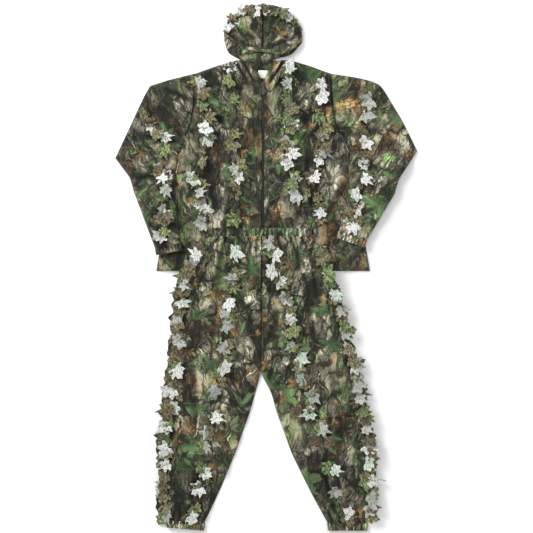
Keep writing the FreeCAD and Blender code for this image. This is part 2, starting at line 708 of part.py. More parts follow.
def check_and_write():
    """Refuse failed objects and bad shapes, then write one STEP file for each node."""
    doc.recompute()
    for thing in doc.Objects:
        if "Invalid" in thing.State or "Error" in thing.State:
            raise ValueError(f"{thing.Label} failed to recompute: {thing.State}")
    os.makedirs("parts", exist_ok=True)
    for node in nodes:
        shape = node.Shape
        if shape.isNull() or not shape.isValid() or not shape.Solids:
            raise ValueError(f"{node.Label} has no valid solid")
        shape.exportStep(f"parts/{node.Label}.step")
        box = shape.BoundBox
        print(f"{node.Label:38s} {len(shape.Solids)} solid(s) {shape.Volume:12.0f} mm3  "
              f"x {box.XMin:7.1f} {box.XMax:7.1f}  y {box.YMin:7.1f} {box.YMax:7.1f}  "
              f"z {box.ZMin:6.2f} {box.ZMax:6.2f}")
    print(len(nodes), "nodes")


make_jacket()
make_zip()
make_jacket_strips()
make_hood()
for suit_side in SIDES:
    make_sleeve(suit_side)
for suit_side in SIDES:
    make_trouser_half(suit_side)
make_waist()
check_and_write()
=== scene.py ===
import logging
import math
import random
from dataclasses import dataclass, field
from enum import Enum
from typing import Callable, Sequence

import bmesh
import bpy
from bmesh.types import BMesh
from bpy.types import Material, Node, Object
from mathutils import Matrix, Vector, noise
from mathutils.bvhtree import BVHTree
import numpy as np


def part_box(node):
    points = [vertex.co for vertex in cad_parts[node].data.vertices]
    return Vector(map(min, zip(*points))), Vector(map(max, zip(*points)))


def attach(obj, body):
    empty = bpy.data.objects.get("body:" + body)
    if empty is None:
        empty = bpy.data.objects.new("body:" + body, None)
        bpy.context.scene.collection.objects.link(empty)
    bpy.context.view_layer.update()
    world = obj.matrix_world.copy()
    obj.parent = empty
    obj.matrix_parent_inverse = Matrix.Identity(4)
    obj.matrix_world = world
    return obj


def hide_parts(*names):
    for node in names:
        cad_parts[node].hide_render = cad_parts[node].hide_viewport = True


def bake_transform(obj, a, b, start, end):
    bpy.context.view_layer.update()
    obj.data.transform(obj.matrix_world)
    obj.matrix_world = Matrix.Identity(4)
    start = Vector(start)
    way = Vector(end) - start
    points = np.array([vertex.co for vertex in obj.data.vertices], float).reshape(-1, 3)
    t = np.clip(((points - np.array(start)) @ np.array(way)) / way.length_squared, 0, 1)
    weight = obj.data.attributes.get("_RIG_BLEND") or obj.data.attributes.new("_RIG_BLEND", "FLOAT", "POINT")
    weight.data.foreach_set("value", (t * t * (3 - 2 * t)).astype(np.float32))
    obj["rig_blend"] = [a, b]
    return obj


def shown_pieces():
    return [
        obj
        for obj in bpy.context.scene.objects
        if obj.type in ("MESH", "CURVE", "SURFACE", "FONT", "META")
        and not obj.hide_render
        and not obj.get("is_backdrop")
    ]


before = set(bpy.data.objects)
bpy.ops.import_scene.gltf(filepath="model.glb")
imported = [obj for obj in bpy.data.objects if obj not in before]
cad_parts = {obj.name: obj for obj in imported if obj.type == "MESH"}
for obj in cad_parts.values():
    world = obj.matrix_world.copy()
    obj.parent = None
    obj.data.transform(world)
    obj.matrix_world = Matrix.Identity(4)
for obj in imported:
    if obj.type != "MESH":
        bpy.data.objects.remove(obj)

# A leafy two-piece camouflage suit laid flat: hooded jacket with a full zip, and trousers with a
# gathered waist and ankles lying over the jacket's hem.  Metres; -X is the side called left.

LOG = logging.getLogger("leafy_suit")
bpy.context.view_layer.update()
SIGNS: dict[str, int] = {"left": -1, "right": 1}
WAVES_PER_METRE = 0.314
UNIT = (1.0, 1.0, 1.0)
CLOTH_GAP = 0.0022
Point = tuple[float, float]
Socket = bpy.types.NodeSocket
Colour = tuple[float, float, float]


# ---- small helpers ----

def smooth(share: float) -> float:
    """Ease a share between 0 and 1."""
    share = min(max(share, 0.0), 1.0)
    return share * share * (3.0 - 2.0 * share)


def mirrored(points: Sequence[Point], side: str) -> tuple[Point, ...]:
    """Put points given for the right-hand side on the side asked for."""
    return tuple((SIGNS[side] * x, y) for x, y in points)


def rough(x: float, y: float, scale: float, seed: float = 0.0) -> float:
    """Read a smooth random height, about -1 to 1, at a place on the suit."""
    return noise.noise(Vector((x * scale, y * scale, seed)))


@dataclass(frozen=True)
class Edge:
    """An edge of a cloth panel in plan, through a few points.

    Attributes:
        points: The corners of the edge, from its start to its end.
        curved: Whether it runs smoothly through them.
    """

    points: tuple[Point, ...]
    curved: bool = False

    def at(self, share: float) -> Vector:
        """Find the place a share of the way along, by length."""
        spots = [Vector(point) for point in self.points]
        lengths = [(b - a).length for a, b in zip(spots, spots[1:])]
        left = min(max(share, 0.0), 1.0) * sum(lengths)
        index = 0
        while index < len(lengths) - 1 and left > lengths[index]:
            left -= lengths[index]
            index += 1
        step = min(left / max(lengths[index], 1e-9), 1.0)
        start, end = spots[index], spots[index + 1]
        if not self.curved:
            return start.lerp(end, step)
        before = spots[index - 1] if index else start * 2 - end
        after = spots[index + 2] if index + 2 < len(spots) else end * 2 - start
        lead, trail = (end - before) * 0.5, (after - start) * 0.5
        square, cube = step * step, step * step * step
        return (start * (2 * cube - 3 * square + 1) + lead * (cube - 2 * square + step)
                + end * (3 * square - 2 * cube) + trail * (cube - square))


@dataclass(frozen=True)
class Patch:
    """A four-sided piece of cloth in plan; u runs from left to right and v from top to bottom."""

    top: Edge
    bottom: Edge
    left: Edge
    right: Edge

    def at(self, u: float, v: float) -> Vector:
        """Find the plan position of a point of the cloth."""
        top, bottom, left, right = self.top, self.bottom, self.left, self.right
        ruled = (top.at(u) * (1 - v) + bottom.at(u) * v
                 + left.at(v) * (1 - u) + right.at(v) * u)
        corners = (top.at(0) * (1 - u) * (1 - v) + top.at(1) * u * (1 - v)
                   + bottom.at(0) * (1 - u) * v + bottom.at(1) * u * v)
        return ruled - corners


def sided_patch(side: str, top: Sequence[Point], bottom: Sequence[Point], outer: Edge,
                inner: Edge) -> Patch:
    """Make a patch from its outer and inner edges, whichever side of the suit it is on."""
    if side == "left":
        return Patch(Edge(tuple(top)), Edge(tuple(bottom)), outer, inner)
    return Patch(Edge(tuple(top[::-1])), Edge(tuple(bottom[::-1])), inner, outer)


class Side(Enum):
    """A side of a panel, where its cloth turns down to the piece beneath."""

    LEFT = "left"
    RIGHT = "right"
    TOP = "top"
    BOTTOM = "bottom"


BOTH_SIDES = ((Side.LEFT, 0.0), (Side.RIGHT, 0.0))


@dataclass(frozen=True)
class Fold:
    """A soft ridge (or, with a negative height, a furrow) in the cloth."""

    start: Point
    end: Point
    height: float
    width: float

    def lift(self, spot: Vector) -> float:
        """Give the fold's height at a place in plan."""
        start, end = Vector(self.start), Vector(self.end)
        run = end - start
        share = (spot - start).dot(run) / run.length_squared
        if not -0.15 < share < 1.15:
            return 0.0
        away = (spot - (start + run * min(max(share, 0.0), 1.0))).length
        taper = smooth(min(share + 0.15, 1.15 - share) / 0.35)
        return self.height * taper * math.exp(-(away / self.width) ** 2)


def drawn_folds(sign: int, rows: Sequence[Sequence[float]]) -> tuple[Fold, ...]:
    """Make folds from rows of start x, y, end x, y, height and width, with x times the sign."""
    return tuple(Fold((sign * row[0], row[1]), (sign * row[2], row[3]), *row[4:]) for row in rows)


@dataclass(frozen=True)
class Gather:
    """Pleats that fan out of a gathered side of a panel."""

    side: Side
    reach: float
    pleats: float
    height: float

    def lift(self, u: float, v: float, seed: float) -> float:
        """Give the pleats' height at a place on the panel."""
        away = {Side.TOP: v, Side.BOTTOM: 1 - v, Side.LEFT: u, Side.RIGHT: 1 - u}[self.side]
        across = u if self.side in (Side.TOP, Side.BOTTOM) else v
        if away > self.reach:
            return 0.0
        fade = (1 - away / self.reach) ** 1.3
        wander = 1.2 * noise.noise(Vector((across * self.pleats * 0.35, away * 5.0, seed)))
        strength = 0.65 + 0.6 * noise.noise(Vector((across * self.pleats * 0.5, 3.1, seed)))
        pleat = abs(math.sin(math.pi * (across * self.pleats + wander * 0.5)))
        return self.height * fade * strength * (2.0 * pleat ** 0.7 - 1.2)


# ---- materials ----

class Graph:
    """A material under construction, with short ways to add its nodes."""

    def __init__(self, name: str) -> None:
        """Start a material with nothing but its output."""
        self.material = bpy.data.materials.new(name)
        self.material.use_nodes = True
        self.tree = self.material.node_tree
        self.tree.nodes.clear()
        self.output = self.tree.nodes.new("ShaderNodeOutputMaterial")

    def node(self, kind: str, **settings: object) -> Node:
        """Add a node and set its properties."""
        made = self.tree.nodes.new(kind)
        for name, setting in settings.items():
            setattr(made, name, setting)
        return made

    def feed(self, socket: Socket, source: object) -> None:
        """Link a socket to another, or set its value."""
        if isinstance(source, bpy.types.NodeSocket):
            self.tree.links.new(source, socket)
        elif source is not None:
            socket.default_value = source

    def fill(self, made: Node, **sources: object) -> Node:
        """Feed sockets by name, with a low line for each space of the name."""
        for name, source in sources.items():
            self.feed(made.inputs[name.replace("_", " ")], source)
        return made

    def math(self, operation: str, first: object, second: object = None) -> Socket:
        """Add a Math node."""
        made = self.node("ShaderNodeMath", operation=operation)
        self.feed(made.inputs[0], first)
        self.feed(made.inputs[1], second)
        return made.outputs[0]

    def mul(self, first: object, second: object) -> Socket:
        """Multiply two values."""
        return self.math("MULTIPLY", first, second)

    def add(self, first: object, second: object) -> Socket:
        """Add two values."""
        return self.math("ADD", first, second)

    def sub(self, first: object, second: object) -> Socket:
        """Take the second value from the first."""
        return self.math("SUBTRACT", first, second)

    def scaled(self, value: object, factor: float, offset: object) -> Socket:
        """Scale a value and shift it."""
        made = self.math("MULTIPLY_ADD", value, factor)
        self.feed(made.node.inputs[2], offset)
        return made

    def attribute(self, name: str) -> Socket:
        """Read a value stored on the piece's points."""
        return self.node("ShaderNodeAttribute", attribute_name=name).outputs["Fac"]

    def object_place(self) -> Socket:
        """Read the piece's own position."""
        return self.node("ShaderNodeTexCoord").outputs["Object"]

    def cells(self, where: Socket, scale: float, feature: str = "F1") -> Node:
        """Add a plan of irregular cells, or of the distance to their edges."""
        made = self.node("ShaderNodeTexVoronoi", voronoi_dimensions="2D", feature=feature)
        return self.fill(made, Vector=where, Scale=scale)

    def channels(self, colour: Socket) -> Node:
        """Split a colour into three values."""
        made = self.node("ShaderNodeSeparateColor")
        self.feed(made.inputs[0], colour)
        return made

    def shaded(self, colour: object, light: Socket) -> Socket:
        """Make a colour lighter or darker by a plain value."""
        shade = self.node("ShaderNodeCombineColor")
        for channel in range(3):
            self.feed(shade.inputs[channel], light)
        return self.mix(1.0, colour, shade.outputs[0], "MULTIPLY")

    def vector(self, operation: str, first: object, second: object) -> Socket:
        """Add a Vector Math node."""
        made = self.node("ShaderNodeVectorMath", operation=operation)
        self.feed(made.inputs[0], first)
        self.feed(made.inputs[1], second)
        return made.outputs["Value" if operation in ("LENGTH", "DISTANCE") else "Vector"]

    def mix(self, share: object, first: object, second: object, blend: str = "MIX") -> Socket:
        """Mix two colours."""
        made = self.node("ShaderNodeMix", data_type="RGBA", blend_type=blend)
        self.feed(made.inputs[0], share)
        self.feed(made.inputs[6], first)
        self.feed(made.inputs[7], second)
        return made.outputs[2]

    def ramp(self, share: Socket, stops: Sequence[tuple[float, Colour]]) -> Socket:
        """Turn a value into a colour through a few stops."""
        made = self.node("ShaderNodeValToRGB")
        elements = made.color_ramp.elements
        while len(elements) < len(stops):
            elements.new(0.5)
        for element, (place, colour) in zip(elements, stops):
            element.position = place
            element.color = (*colour, 1.0)
        self.feed(made.inputs[0], share)
        return made.outputs[0]

    def window(self, value: object, low: float, high: float) -> Socket:
        """Stretch a value from one range to 0..1, held at its ends."""
        made = self.node("ShaderNodeMapRange", clamp=True)
        self.fill(made, Value=value, From_Min=low, From_Max=high)
        return made.outputs[0]

    def noise(self, where: Socket, scale: float, detail: float = 3.0, harsh: float = 0.5,
              twist: float = 0.0) -> Socket:
        """Add a noise texture and return its value."""
        made = self.node("ShaderNodeTexNoise", noise_dimensions="3D")
        self.fill(made, Vector=where, Scale=scale, Detail=detail, Roughness=harsh, Distortion=twist)
        return made.outputs[0]

    def stretched(self, where: Socket, scale: Sequence[float], turn: float = 0.0,
                  shift: Sequence[float] = (0.0, 0.0, 0.0)) -> Socket:
        """Move, turn and stretch a pattern's coordinates."""
        made = self.node("ShaderNodeMapping")
        self.fill(made, Vector=where, Location=shift, Rotation=(0.0, 0.0, turn), Scale=scale)
        return made.outputs[0]

    def wave(self, where: Socket, scale: float, twist: float = 0.0, detail: float = 2.0,
             **settings: str) -> Socket:
        """Add bands of waves and return their value."""
        made = self.node("ShaderNodeTexWave", wave_type="BANDS", **settings)
        self.fill(made, Vector=where, Scale=scale, Distortion=twist, Detail=detail)
        return made.outputs["Fac"]

    def cloth_place(self) -> Socket:
        """Read the piece's own cloth coordinates, in metres of cloth."""
        return self.node("ShaderNodeUVMap", uv_map="cloth").outputs[0]

    def weave(self, where: Socket, pitch: float) -> Socket:
        """Make the height of a plain weave of a given thread pitch."""
        warp, weft = (self.wave(self.stretched(where, UNIT, turn), WAVES_PER_METRE / pitch, 0.4)
                      for turn in (0.0, math.pi / 2))
        return self.mul(warp, weft)

    def finish(self, colour: object, roughness: object, height: object = None, depth: float = 0.0004,
               sheen: float = 0.0, specular: float = 0.3, metal: float = 0.0) -> Material:
        """Close the material with a surface shader.

        Args:
            colour: The base colour, a socket or a colour.
            roughness: The roughness, a socket or a number.
            height: The height for the surface relief, or None.
            depth: How deep the relief is, in metres.
            sheen: How much fuzz catches the light.
            specular: The strength of the surface reflection.
            metal: Whether the surface is metal, from 0 to 1.

        Returns:
            The finished material.
        """
        shader = self.node("ShaderNodeBsdfPrincipled")
        self.fill(shader, Base_Color=colour, Roughness=roughness, Specular_IOR_Level=specular,
                  Sheen_Weight=sheen, Metallic=metal)
        if height is not None:
            bump = self.fill(self.node("ShaderNodeBump"), Strength=0.6, Distance=depth, Height=height)
            self.feed(shader.inputs["Normal"], bump.outputs[0])
        self.feed(self.output.inputs[0], shader.outputs[0])
        return self.material


class LeafForm(Enum):
    """The shapes of printed leaf."""

    LANCE = "lance"
    LOBED = "lobed"


@dataclass(frozen=True)
class LeafScatter:
    """One scattering of printed leaves.

    Attributes:
        form: The shape of its leaves.
        size: The spacing of the leaves, in metres.
        share: How many of the places hold a leaf, from 0 to 1.
        seed: What sets this scattering apart.
        colours: The colours it picks from, dark to light.
        soft: How blurred its edges are.
        clump: How much of the cloth its clumps cover, from 0 to 1.
    """

    form: LeafForm
    size: float
    share: float
    seed: float
    colours: tuple[Colour, ...]
    soft: float = 0.03
    clump: float = 1.0

    def stamp(self, g: Graph, under: Socket, where: Socket, grain: Socket) -> Socket:
        """Print this scattering over what is already there.

        Args:
            g: The material.
            under: The colour printed so far.
            where: The cloth coordinates.
            grain: A fine random value that mottles the leaves.

        Returns:
            The colour with the leaves on it.
        """
        spot = g.stretched(where, (1 / self.size, 1 / self.size, 1.0), self.seed,
                           (self.seed * 3.7, self.seed * 1.9, 0.0))
        cell = g.cells(spot, 1.0)
        cell.inputs["Randomness"].default_value = 0.9
        pick = g.channels(cell.outputs["Color"])
        local = g.vector("SUBTRACT", spot, cell.outputs["Position"])
        turned = g.node("ShaderNodeVectorRotate", rotation_type="Z_AXIS")
        g.fill(turned, Vector=local, Angle=g.mul(pick.outputs[0], math.tau))
        axes = g.node("ShaderNodeSeparateXYZ")
        g.feed(axes.inputs[0], turned.outputs[0])
        x, y = axes.outputs[0], axes.outputs[1]
        side = g.math("ABSOLUTE", y)
        depth, ribs, vein = self.outline(g, x, y, side, local, pick.outputs[1])
        ragged = g.mul(g.sub(grain, 0.5), 0.1)
        depth = g.add(depth, ragged)
        here = g.math("LESS_THAN", pick.outputs[2], self.share)
        if self.clump < 1.0:
            clumps = g.noise(g.stretched(where, UNIT, 0.0, (self.seed, 0.0, 0.0)), 8.0, 1.0)
            edge = 0.62 - 0.24 * self.clump
            here = g.mul(here, g.window(clumps, edge, edge + 0.03))
        mask = g.mul(g.window(depth, 0.0, self.soft), here)
        halo = g.mul(g.window(depth, -0.12, 0.0), here)
        steps = [(index / max(len(self.colours) - 1, 1), colour)
                 for index, colour in enumerate(self.colours)]
        colour = g.ramp(g.add(g.mul(pick.outputs[1], 0.75), g.mul(g.sub(grain, 0.36), 0.8)), steps)
        lit = g.scaled(g.window(grain, 0.34, 0.66), 0.7, 0.6)
        lit = g.mul(lit, g.add(g.window(y, -0.12, 0.1), 0.55))
        lit = g.add(lit, g.mul(ribs, 0.1))
        colour = g.shaded(colour, lit)
        colour = g.mix(g.mul(vein, 0.4), colour, (0.36, 0.35, 0.22, 1.0))
        darkened = g.mix(g.mul(halo, 0.7), under, (0.012, 0.013, 0.008, 1.0))
        return g.mix(mask, darkened, colour)

    def outline(self, g: Graph, x: Socket, y: Socket, side: Socket, local: Socket,
                pick: Socket) -> tuple[Socket, Socket, Socket]:
        """Give how deep inside the leaf a point is, its ribs and its veins."""
        if self.form is LeafForm.LANCE:
            along = g.mul(x, 2.2)
            room = g.sub(1.0, g.mul(along, along))
            depth = g.sub(g.mul(room, g.scaled(pick, 0.13, 0.05)), side)
            ribs = g.math("SINE", g.mul(g.scaled(side, -1.1, x), 70.0))
            return depth, ribs, g.math("LESS_THAN", side, 0.01)
        angle = g.math("ARCTAN2", y, x)
        lobes = g.math("ABSOLUTE", g.math("COSINE", g.mul(angle, 2.5)))
        tips = g.mul(g.math("POWER", lobes, 1.6), 0.26)
        teeth = g.mul(g.math("SINE", g.mul(angle, 19.0)), 0.03)
        reach = g.add(g.add(tips, teeth), g.scaled(pick, 0.07, 0.1))
        depth = g.sub(reach, g.vector("LENGTH", local, None))
        return depth, g.math("SINE", g.mul(side, 60.0)), g.math("GREATER_THAN", lobes, 0.997)


PLATE_SCALE = 27.0
DARK_EDGE = (0.01, 0.01, 0.007, 1.0)
GREENS = ((0.02, 0.04, 0.012), (0.05, 0.1, 0.026), (0.08, 0.14, 0.044), (0.11, 0.17, 0.065))
MOSSES = ((0.03, 0.048, 0.018), (0.065, 0.1, 0.036), (0.105, 0.15, 0.06), (0.18, 0.22, 0.11))
RUSTS = ((0.045, 0.026, 0.01), (0.11, 0.058, 0.02), (0.18, 0.105, 0.034), (0.22, 0.16, 0.06))
FRONT_GREENS = ((0.018, 0.04, 0.016), (0.042, 0.084, 0.03), (0.066, 0.118, 0.044),
                (0.1, 0.168, 0.065))
FRONT_RUSTS = ((0.06, 0.036, 0.014), (0.13, 0.075, 0.026), (0.19, 0.125, 0.045))
TANS = ((0.06, 0.054, 0.036), (0.13, 0.118, 0.08), (0.21, 0.19, 0.135), (0.34, 0.32, 0.24))


@dataclass(frozen=True)
class WoodlandPrint:
    """The suit's printed cloth: trunks, bark, branches and leaves on a plain weave.

    Attributes:
        name: The material's name.
        gain: How light the print is.
        grounds: The colours of the ground that the print starts from.
        scatters: The scatterings of leaves that share the ground's light and dark.
        nearest: The scatterings of leaves that stand out in front.
    """

    name: str = "woodland_print"
    gain: float = 1.0
    grounds: tuple[tuple[float, Colour], ...] = (
        (0.3, (0.026, 0.034, 0.016)), (0.39, (0.07, 0.105, 0.036)), (0.45, (0.13, 0.145, 0.075)),
        (0.5, (0.185, 0.165, 0.105)), (0.55, (0.17, 0.16, 0.115)), (0.6, (0.16, 0.098, 0.036)),
        (0.66, (0.075, 0.056, 0.03)), (0.76, (0.024, 0.022, 0.016)))
    scatters: tuple[LeafScatter, ...] = (
        LeafScatter(LeafForm.LOBED, 0.15, 0.6, 1.3, MOSSES, 0.1, 0.6),
        LeafScatter(LeafForm.LOBED, 0.12, 0.65, 4.1, GREENS, 0.06, 0.42),
        LeafScatter(LeafForm.LANCE, 0.105, 0.5, 2.9, TANS, 0.05, 0.4),
        LeafScatter(LeafForm.LOBED, 0.08, 0.6, 7.3, RUSTS, 0.05, 0.3),
    )
    nearest: tuple[LeafScatter, ...] = (
        LeafScatter(LeafForm.LOBED, 0.135, 0.55, 3.3, FRONT_GREENS, 0.03, 0.62),
        LeafScatter(LeafForm.LOBED, 0.07, 0.5, 8.9, FRONT_RUSTS, 0.04, 0.38),
        LeafScatter(LeafForm.LANCE, 0.06, 0.6, 5.7, FRONT_GREENS, 0.03, 0.4),
    )

    def colour(self, g: Graph, where: Socket) -> Socket:
        """Lay down the whole print and return its colour."""
        warp = g.node("ShaderNodeTexNoise", noise_dimensions="3D")
        g.fill(warp, Vector=where, Scale=20.0, Detail=3.0)
        pushed = g.vector("ADD", where, g.vector("MULTIPLY", warp.outputs["Color"], (0.04, 0.04, 0.0)))
        grain = g.noise(pushed, 190.0, 6.0, 0.72)
        streaks = g.noise(g.stretched(pushed, (1.0, 0.24, 1.0), 0.35), 100.0, 7.0, 0.74, 0.9)
        ground = g.noise(g.stretched(where, (1.0, 0.6, 1.0), 0.5), 8.0, 3.0, 0.55, 0.7)
        colour = g.ramp(ground, self.grounds)
        colour = self.trunks(g, colour, pushed, grain, 0.45, 1.7)
        for scatter in self.scatters[:3]:
            colour = scatter.stamp(g, colour, pushed, grain)
        colour = self.branches(g, colour, pushed, 8.0, 0.026, (0.36, 0.33, 0.24, 1.0))
        place = g.stretched(pushed, (1.0, 0.42, 1.0), 0.3)
        plate = g.channels(g.cells(place, PLATE_SCALE).outputs["Color"])
        colour = self.cracks(g, colour, place, where, PLATE_SCALE, 0.045)
        for scatter in self.scatters[3:]:
            colour = scatter.stamp(g, colour, pushed, grain)
        broad = g.noise(g.stretched(where, (1.0, 0.8, 1.0), 1.1, (3.0, 1.0, 0.0)), 13.0, 4.0, 0.62, 0.4)
        patches = g.noise(g.stretched(pushed, (1.0, 0.6, 1.0), 0.6), 24.0, 4.0, 0.6)
        shadow = g.window(patches, 0.565, 0.6)
        colour = g.mix(g.mul(shadow, 0.8), colour, (0.006, 0.007, 0.004, 1.0))
        tone = g.add(g.scaled(streaks, 0.62, 0.19), g.mul(g.sub(grain, 0.5), 0.42))
        tone = g.add(tone, g.mul(g.sub(broad, 0.5), 0.7))
        tone = g.add(tone, g.mul(g.sub(plate.outputs[0], 0.5), 0.17))
        light = g.mul(g.math("POWER", g.window(tone, 0.32, 0.7), 2.3), 4.1)
        light = g.math("MINIMUM", g.add(light, 0.05), 2.6)
        colour = g.shaded(colour, light)
        for scatter in self.nearest:
            colour = scatter.stamp(g, colour, pushed, grain)
        # Multiply the print by the stored painted fold shade and highlight, with the tone, and by the gain.
        return g.shaded(colour, g.add(g.attribute("painted_light_and_tone"), self.gain))

    def trunks(self, g: Graph, under: Socket, where: Socket, grain: Socket, turn: float,
               scale: float) -> Socket:
        """Draw leaning trunks of pale cracked bark, dark down one side."""
        across = g.wave(g.stretched(where, (1.0, 0.35, 1.0), turn), scale, 5.0, wave_profile="SAW")
        trunk = g.mul(g.window(across, 0.6, 0.63), g.sub(1.0, g.window(
            across, 0.93, 0.96)))
        broken = g.window(g.noise(where, 4.0, 1.0), 0.42, 0.47)
        trunk = g.mul(trunk, broken)
        crack = g.cells(g.stretched(where, (1.0, 0.45, 1.0), turn), 42.0, "DISTANCE_TO_EDGE")
        skin = g.ramp(g.add(g.mul(across, 0.45), g.mul(grain, 0.6)), (
            (0.4, (0.06, 0.056, 0.04)), (0.52, (0.15, 0.14, 0.1)), (0.62, (0.27, 0.25, 0.18)),
            (0.74, (0.34, 0.32, 0.25))))
        split = g.sub(1.0, g.window(crack.outputs["Distance"], 0.02, 0.12))
        skin = g.mix(g.mul(split, 0.75), skin, (0.02, 0.02, 0.014, 1.0))
        side = g.mul(g.window(across, 0.46, 0.6), broken)
        under = g.mix(g.mul(side, 0.75), under, DARK_EDGE)
        return g.mix(g.mul(trunk, 0.92), under, skin)

    def branches(self, g: Graph, under: Socket, where: Socket, scale: float, thick: float,
                 light: tuple[float, float, float, float]) -> Socket:
        """Draw thin crossing branches with a dark side."""
        lines = g.cells(g.stretched(where, (1.0, 0.62, 1.0), scale), scale, "DISTANCE_TO_EDGE")
        near = lines.outputs["Distance"]
        broken = g.window(g.noise(where, scale * 1.3, 1.0), 0.52, 0.58)
        dark = g.mul(g.sub(1.0, g.window(near, thick, thick * 3.0)), broken)
        lit = g.mul(g.sub(1.0, g.window(near, thick * 0.4, thick * 0.8)), broken)
        shaded = g.mix(g.mul(dark, 0.85), under, DARK_EDGE)
        return g.mix(g.mul(lit, 0.75), shaded, light)

    def cracks(self, g: Graph, under: Socket, place: Socket, where: Socket, scale: float,
               thick: float) -> Socket:
        """Draw fine dark cracks round the plates, gathered in clumps."""
        lines = g.cells(place, scale, "DISTANCE_TO_EDGE")
        here = g.window(g.noise(where, 11.0, 2.0, 0.5), 0.42, 0.5)
        line = g.sub(1.0, g.window(lines.outputs["Distance"], thick * 0.5, thick * 1.6))
        return g.mix(g.mul(g.mul(line, here), 0.88), under,
                     (0.008, 0.008, 0.006, 1.0))

    def make(self) -> Material:
        """Build the printed face of the cloth."""
        g = Graph(self.name)
        where = g.cloth_place()
        colour = self.colour(g, where)
        weave = g.weave(where, 0.0006)
        colour = g.mix(0.08, colour, g.mix(weave, (0.02, 0.02, 0.015, 1.0), (0.5, 0.5, 0.4, 1.0)))
        roughness = g.scaled(g.noise(where, 60.0, 2.0), 0.12, 0.76)
        slub = g.add(weave, g.noise(where, 900.0, 2.0))
        return g.finish(colour, roughness, slub, 0.0003, sheen=0.05, specular=0.22)


@dataclass(frozen=True)
class PlainCloth:
    """An unprinted cloth: a reverse side, a ribbon, a tape, webbing or a label."""

    name: str
    colour: Colour
    vary: float
    pitch: float = 0.0006
    rib: bool = False

    def make(self) -> Material:
        """Build the cloth's material."""
        g = Graph(self.name)
        where = g.cloth_place()
        weave = g.weave(where, self.pitch)
        if self.rib:
            ribs = g.wave(where, WAVES_PER_METRE / (self.pitch * 3), bands_direction="Y")
            weave = g.add(weave, ribs)
        cloud = g.noise(where, 45.0, 4.0, 0.6)
        low = tuple(max(c * (1 - self.vary), 0.0) for c in self.colour)
        high = tuple(min(c * (1 + self.vary), 1.0) for c in self.colour)
        colour = g.ramp(cloud, ((0.35, low), (0.65, high)))
        colour = g.mix(g.mul(weave, 0.18), colour, (0.0, 0.0, 0.0, 1.0))
        return g.finish(colour, g.scaled(cloud, 0.15, 0.75), weave, 0.0003, sheen=0.1, specular=0.2)


@dataclass(frozen=True)
class CutLeafCloth:
    """The cloth of the cut leaves: printed on its face, pale behind."""

    name: str
    pale: bool

    def make(self) -> Material:
        """Build the material, tinted leaf by leaf."""
        g = Graph(self.name)
        where = g.cloth_place()
        tone = g.attribute("tone")
        weave = g.weave(where, 0.0006)
        mottle = g.noise(g.stretched(where, (1.0, 0.6, 1.0), 0.5), 130.0, 6.0, 0.72, 0.4)
        if self.pale:
            base = g.ramp(tone, ((0.0, (0.33, 0.34, 0.31)), (0.25, (0.52, 0.53, 0.5)),
                                 (0.55, (0.7, 0.71, 0.68)), (0.8, (0.84, 0.84, 0.83)),
                                 (1.0, (0.5, 0.62, 0.52))))
            colour = g.mix(g.mul(g.window(mottle, 0.47, 0.58), 0.85), base,
                           (0.15, 0.165, 0.135, 1.0))
        else:
            bark = g.ramp(g.noise(where, 38.0, 3.0, 0.6, 0.5), WoodlandPrint().grounds)
            tint = g.ramp(tone, ((0.0, (0.03, 0.03, 0.02)), (0.25, (0.13, 0.085, 0.036)),
                                 (0.45, (0.17, 0.15, 0.085)), (0.65, (0.06, 0.115, 0.036)),
                                 (0.88, (0.15, 0.25, 0.08)), (1.0, (0.2, 0.15, 0.05))))
            light = g.mul(g.math("POWER", g.window(mottle, 0.33, 0.68), 2.0), 3.6)
            colour = g.shaded(g.mix(0.6, bark, tint), g.add(light, 0.07))
        vein = g.attribute("vein")
        colour = g.mix(g.mul(vein, 0.18), colour, (0.16, 0.16, 0.12, 1.0))
        relief = g.add(weave, g.mul(vein, 1.5))
        return g.finish(colour, 0.8, relief, 0.0004, sheen=0.08, specular=0.2)


@dataclass(frozen=True)
class HardFinish:
    """A moulded or cast finish, worn a little lighter where it varies."""

    name: str
    colour: Colour
    roughness: float
    metal: float

    def make(self) -> Material:
        """Build the material on the piece's own position."""
        g = Graph(self.name)
        where = g.object_place()
        wear = g.window(g.noise(where, 420.0, 4.0, 0.65), 0.52, 0.72)
        lighter = tuple(min(c * 2.6 + 0.05, 1.0) for c in self.colour)
        colour = g.mix(g.mul(wear, 0.5), (*self.colour, 1.0), (*lighter, 1.0))
        roughness = g.scaled(wear, -0.12, self.roughness)
        return g.finish(colour, roughness, g.noise(where, 900.0, 2.0), 0.0001, specular=0.5,
                        metal=self.metal)


class Finishes:
    """Every material of the suit, built once."""

    def __init__(self) -> None:
        """Build the materials."""
        self.print = WoodlandPrint().make()
        self.reverse = PlainCloth("cloth_reverse", (0.36, 0.37, 0.31), 0.25).make()
        # The ribbon's print is dark: partly its own charcoal colour, partly painted shadow of the leaves
        # over it.
        self.ribbon = WoodlandPrint("strip_print_dark_and_painted_shade", 0.42).make()
        self.band = WoodlandPrint("waist_print", 0.95, (
            (0.34, (0.03, 0.05, 0.028)), (0.46, (0.09, 0.135, 0.075)), (0.56, (0.12, 0.14, 0.088)),
            (0.68, (0.06, 0.065, 0.04)))).make()
        self.leaf_face = CutLeafCloth("cut_leaf_face", False).make()
        self.leaf_back = CutLeafCloth("cut_leaf_back", True).make()
        self.webbing = PlainCloth("elastic_webbing", (0.045, 0.045, 0.04), 0.2, 0.0011, True).make()
        self.tape = PlainCloth("zip_tape_twill", (0.04, 0.04, 0.03), 0.3, 0.0007, True).make()
        self.label = PlainCloth("blank_label", (0.82, 0.82, 0.78), 0.06, 0.0004).make()
        self.thread = PlainCloth("sewing_thread", (0.13, 0.12, 0.08), 0.3, 0.0003).make()
        self.coil = HardFinish("zip_coil_nylon", (0.035, 0.033, 0.028), 0.42, 0.0).make()
        self.metal = HardFinish("zip_dark_metal", (0.09, 0.085, 0.075), 0.38, 0.85).make()


# ---- meshes ----

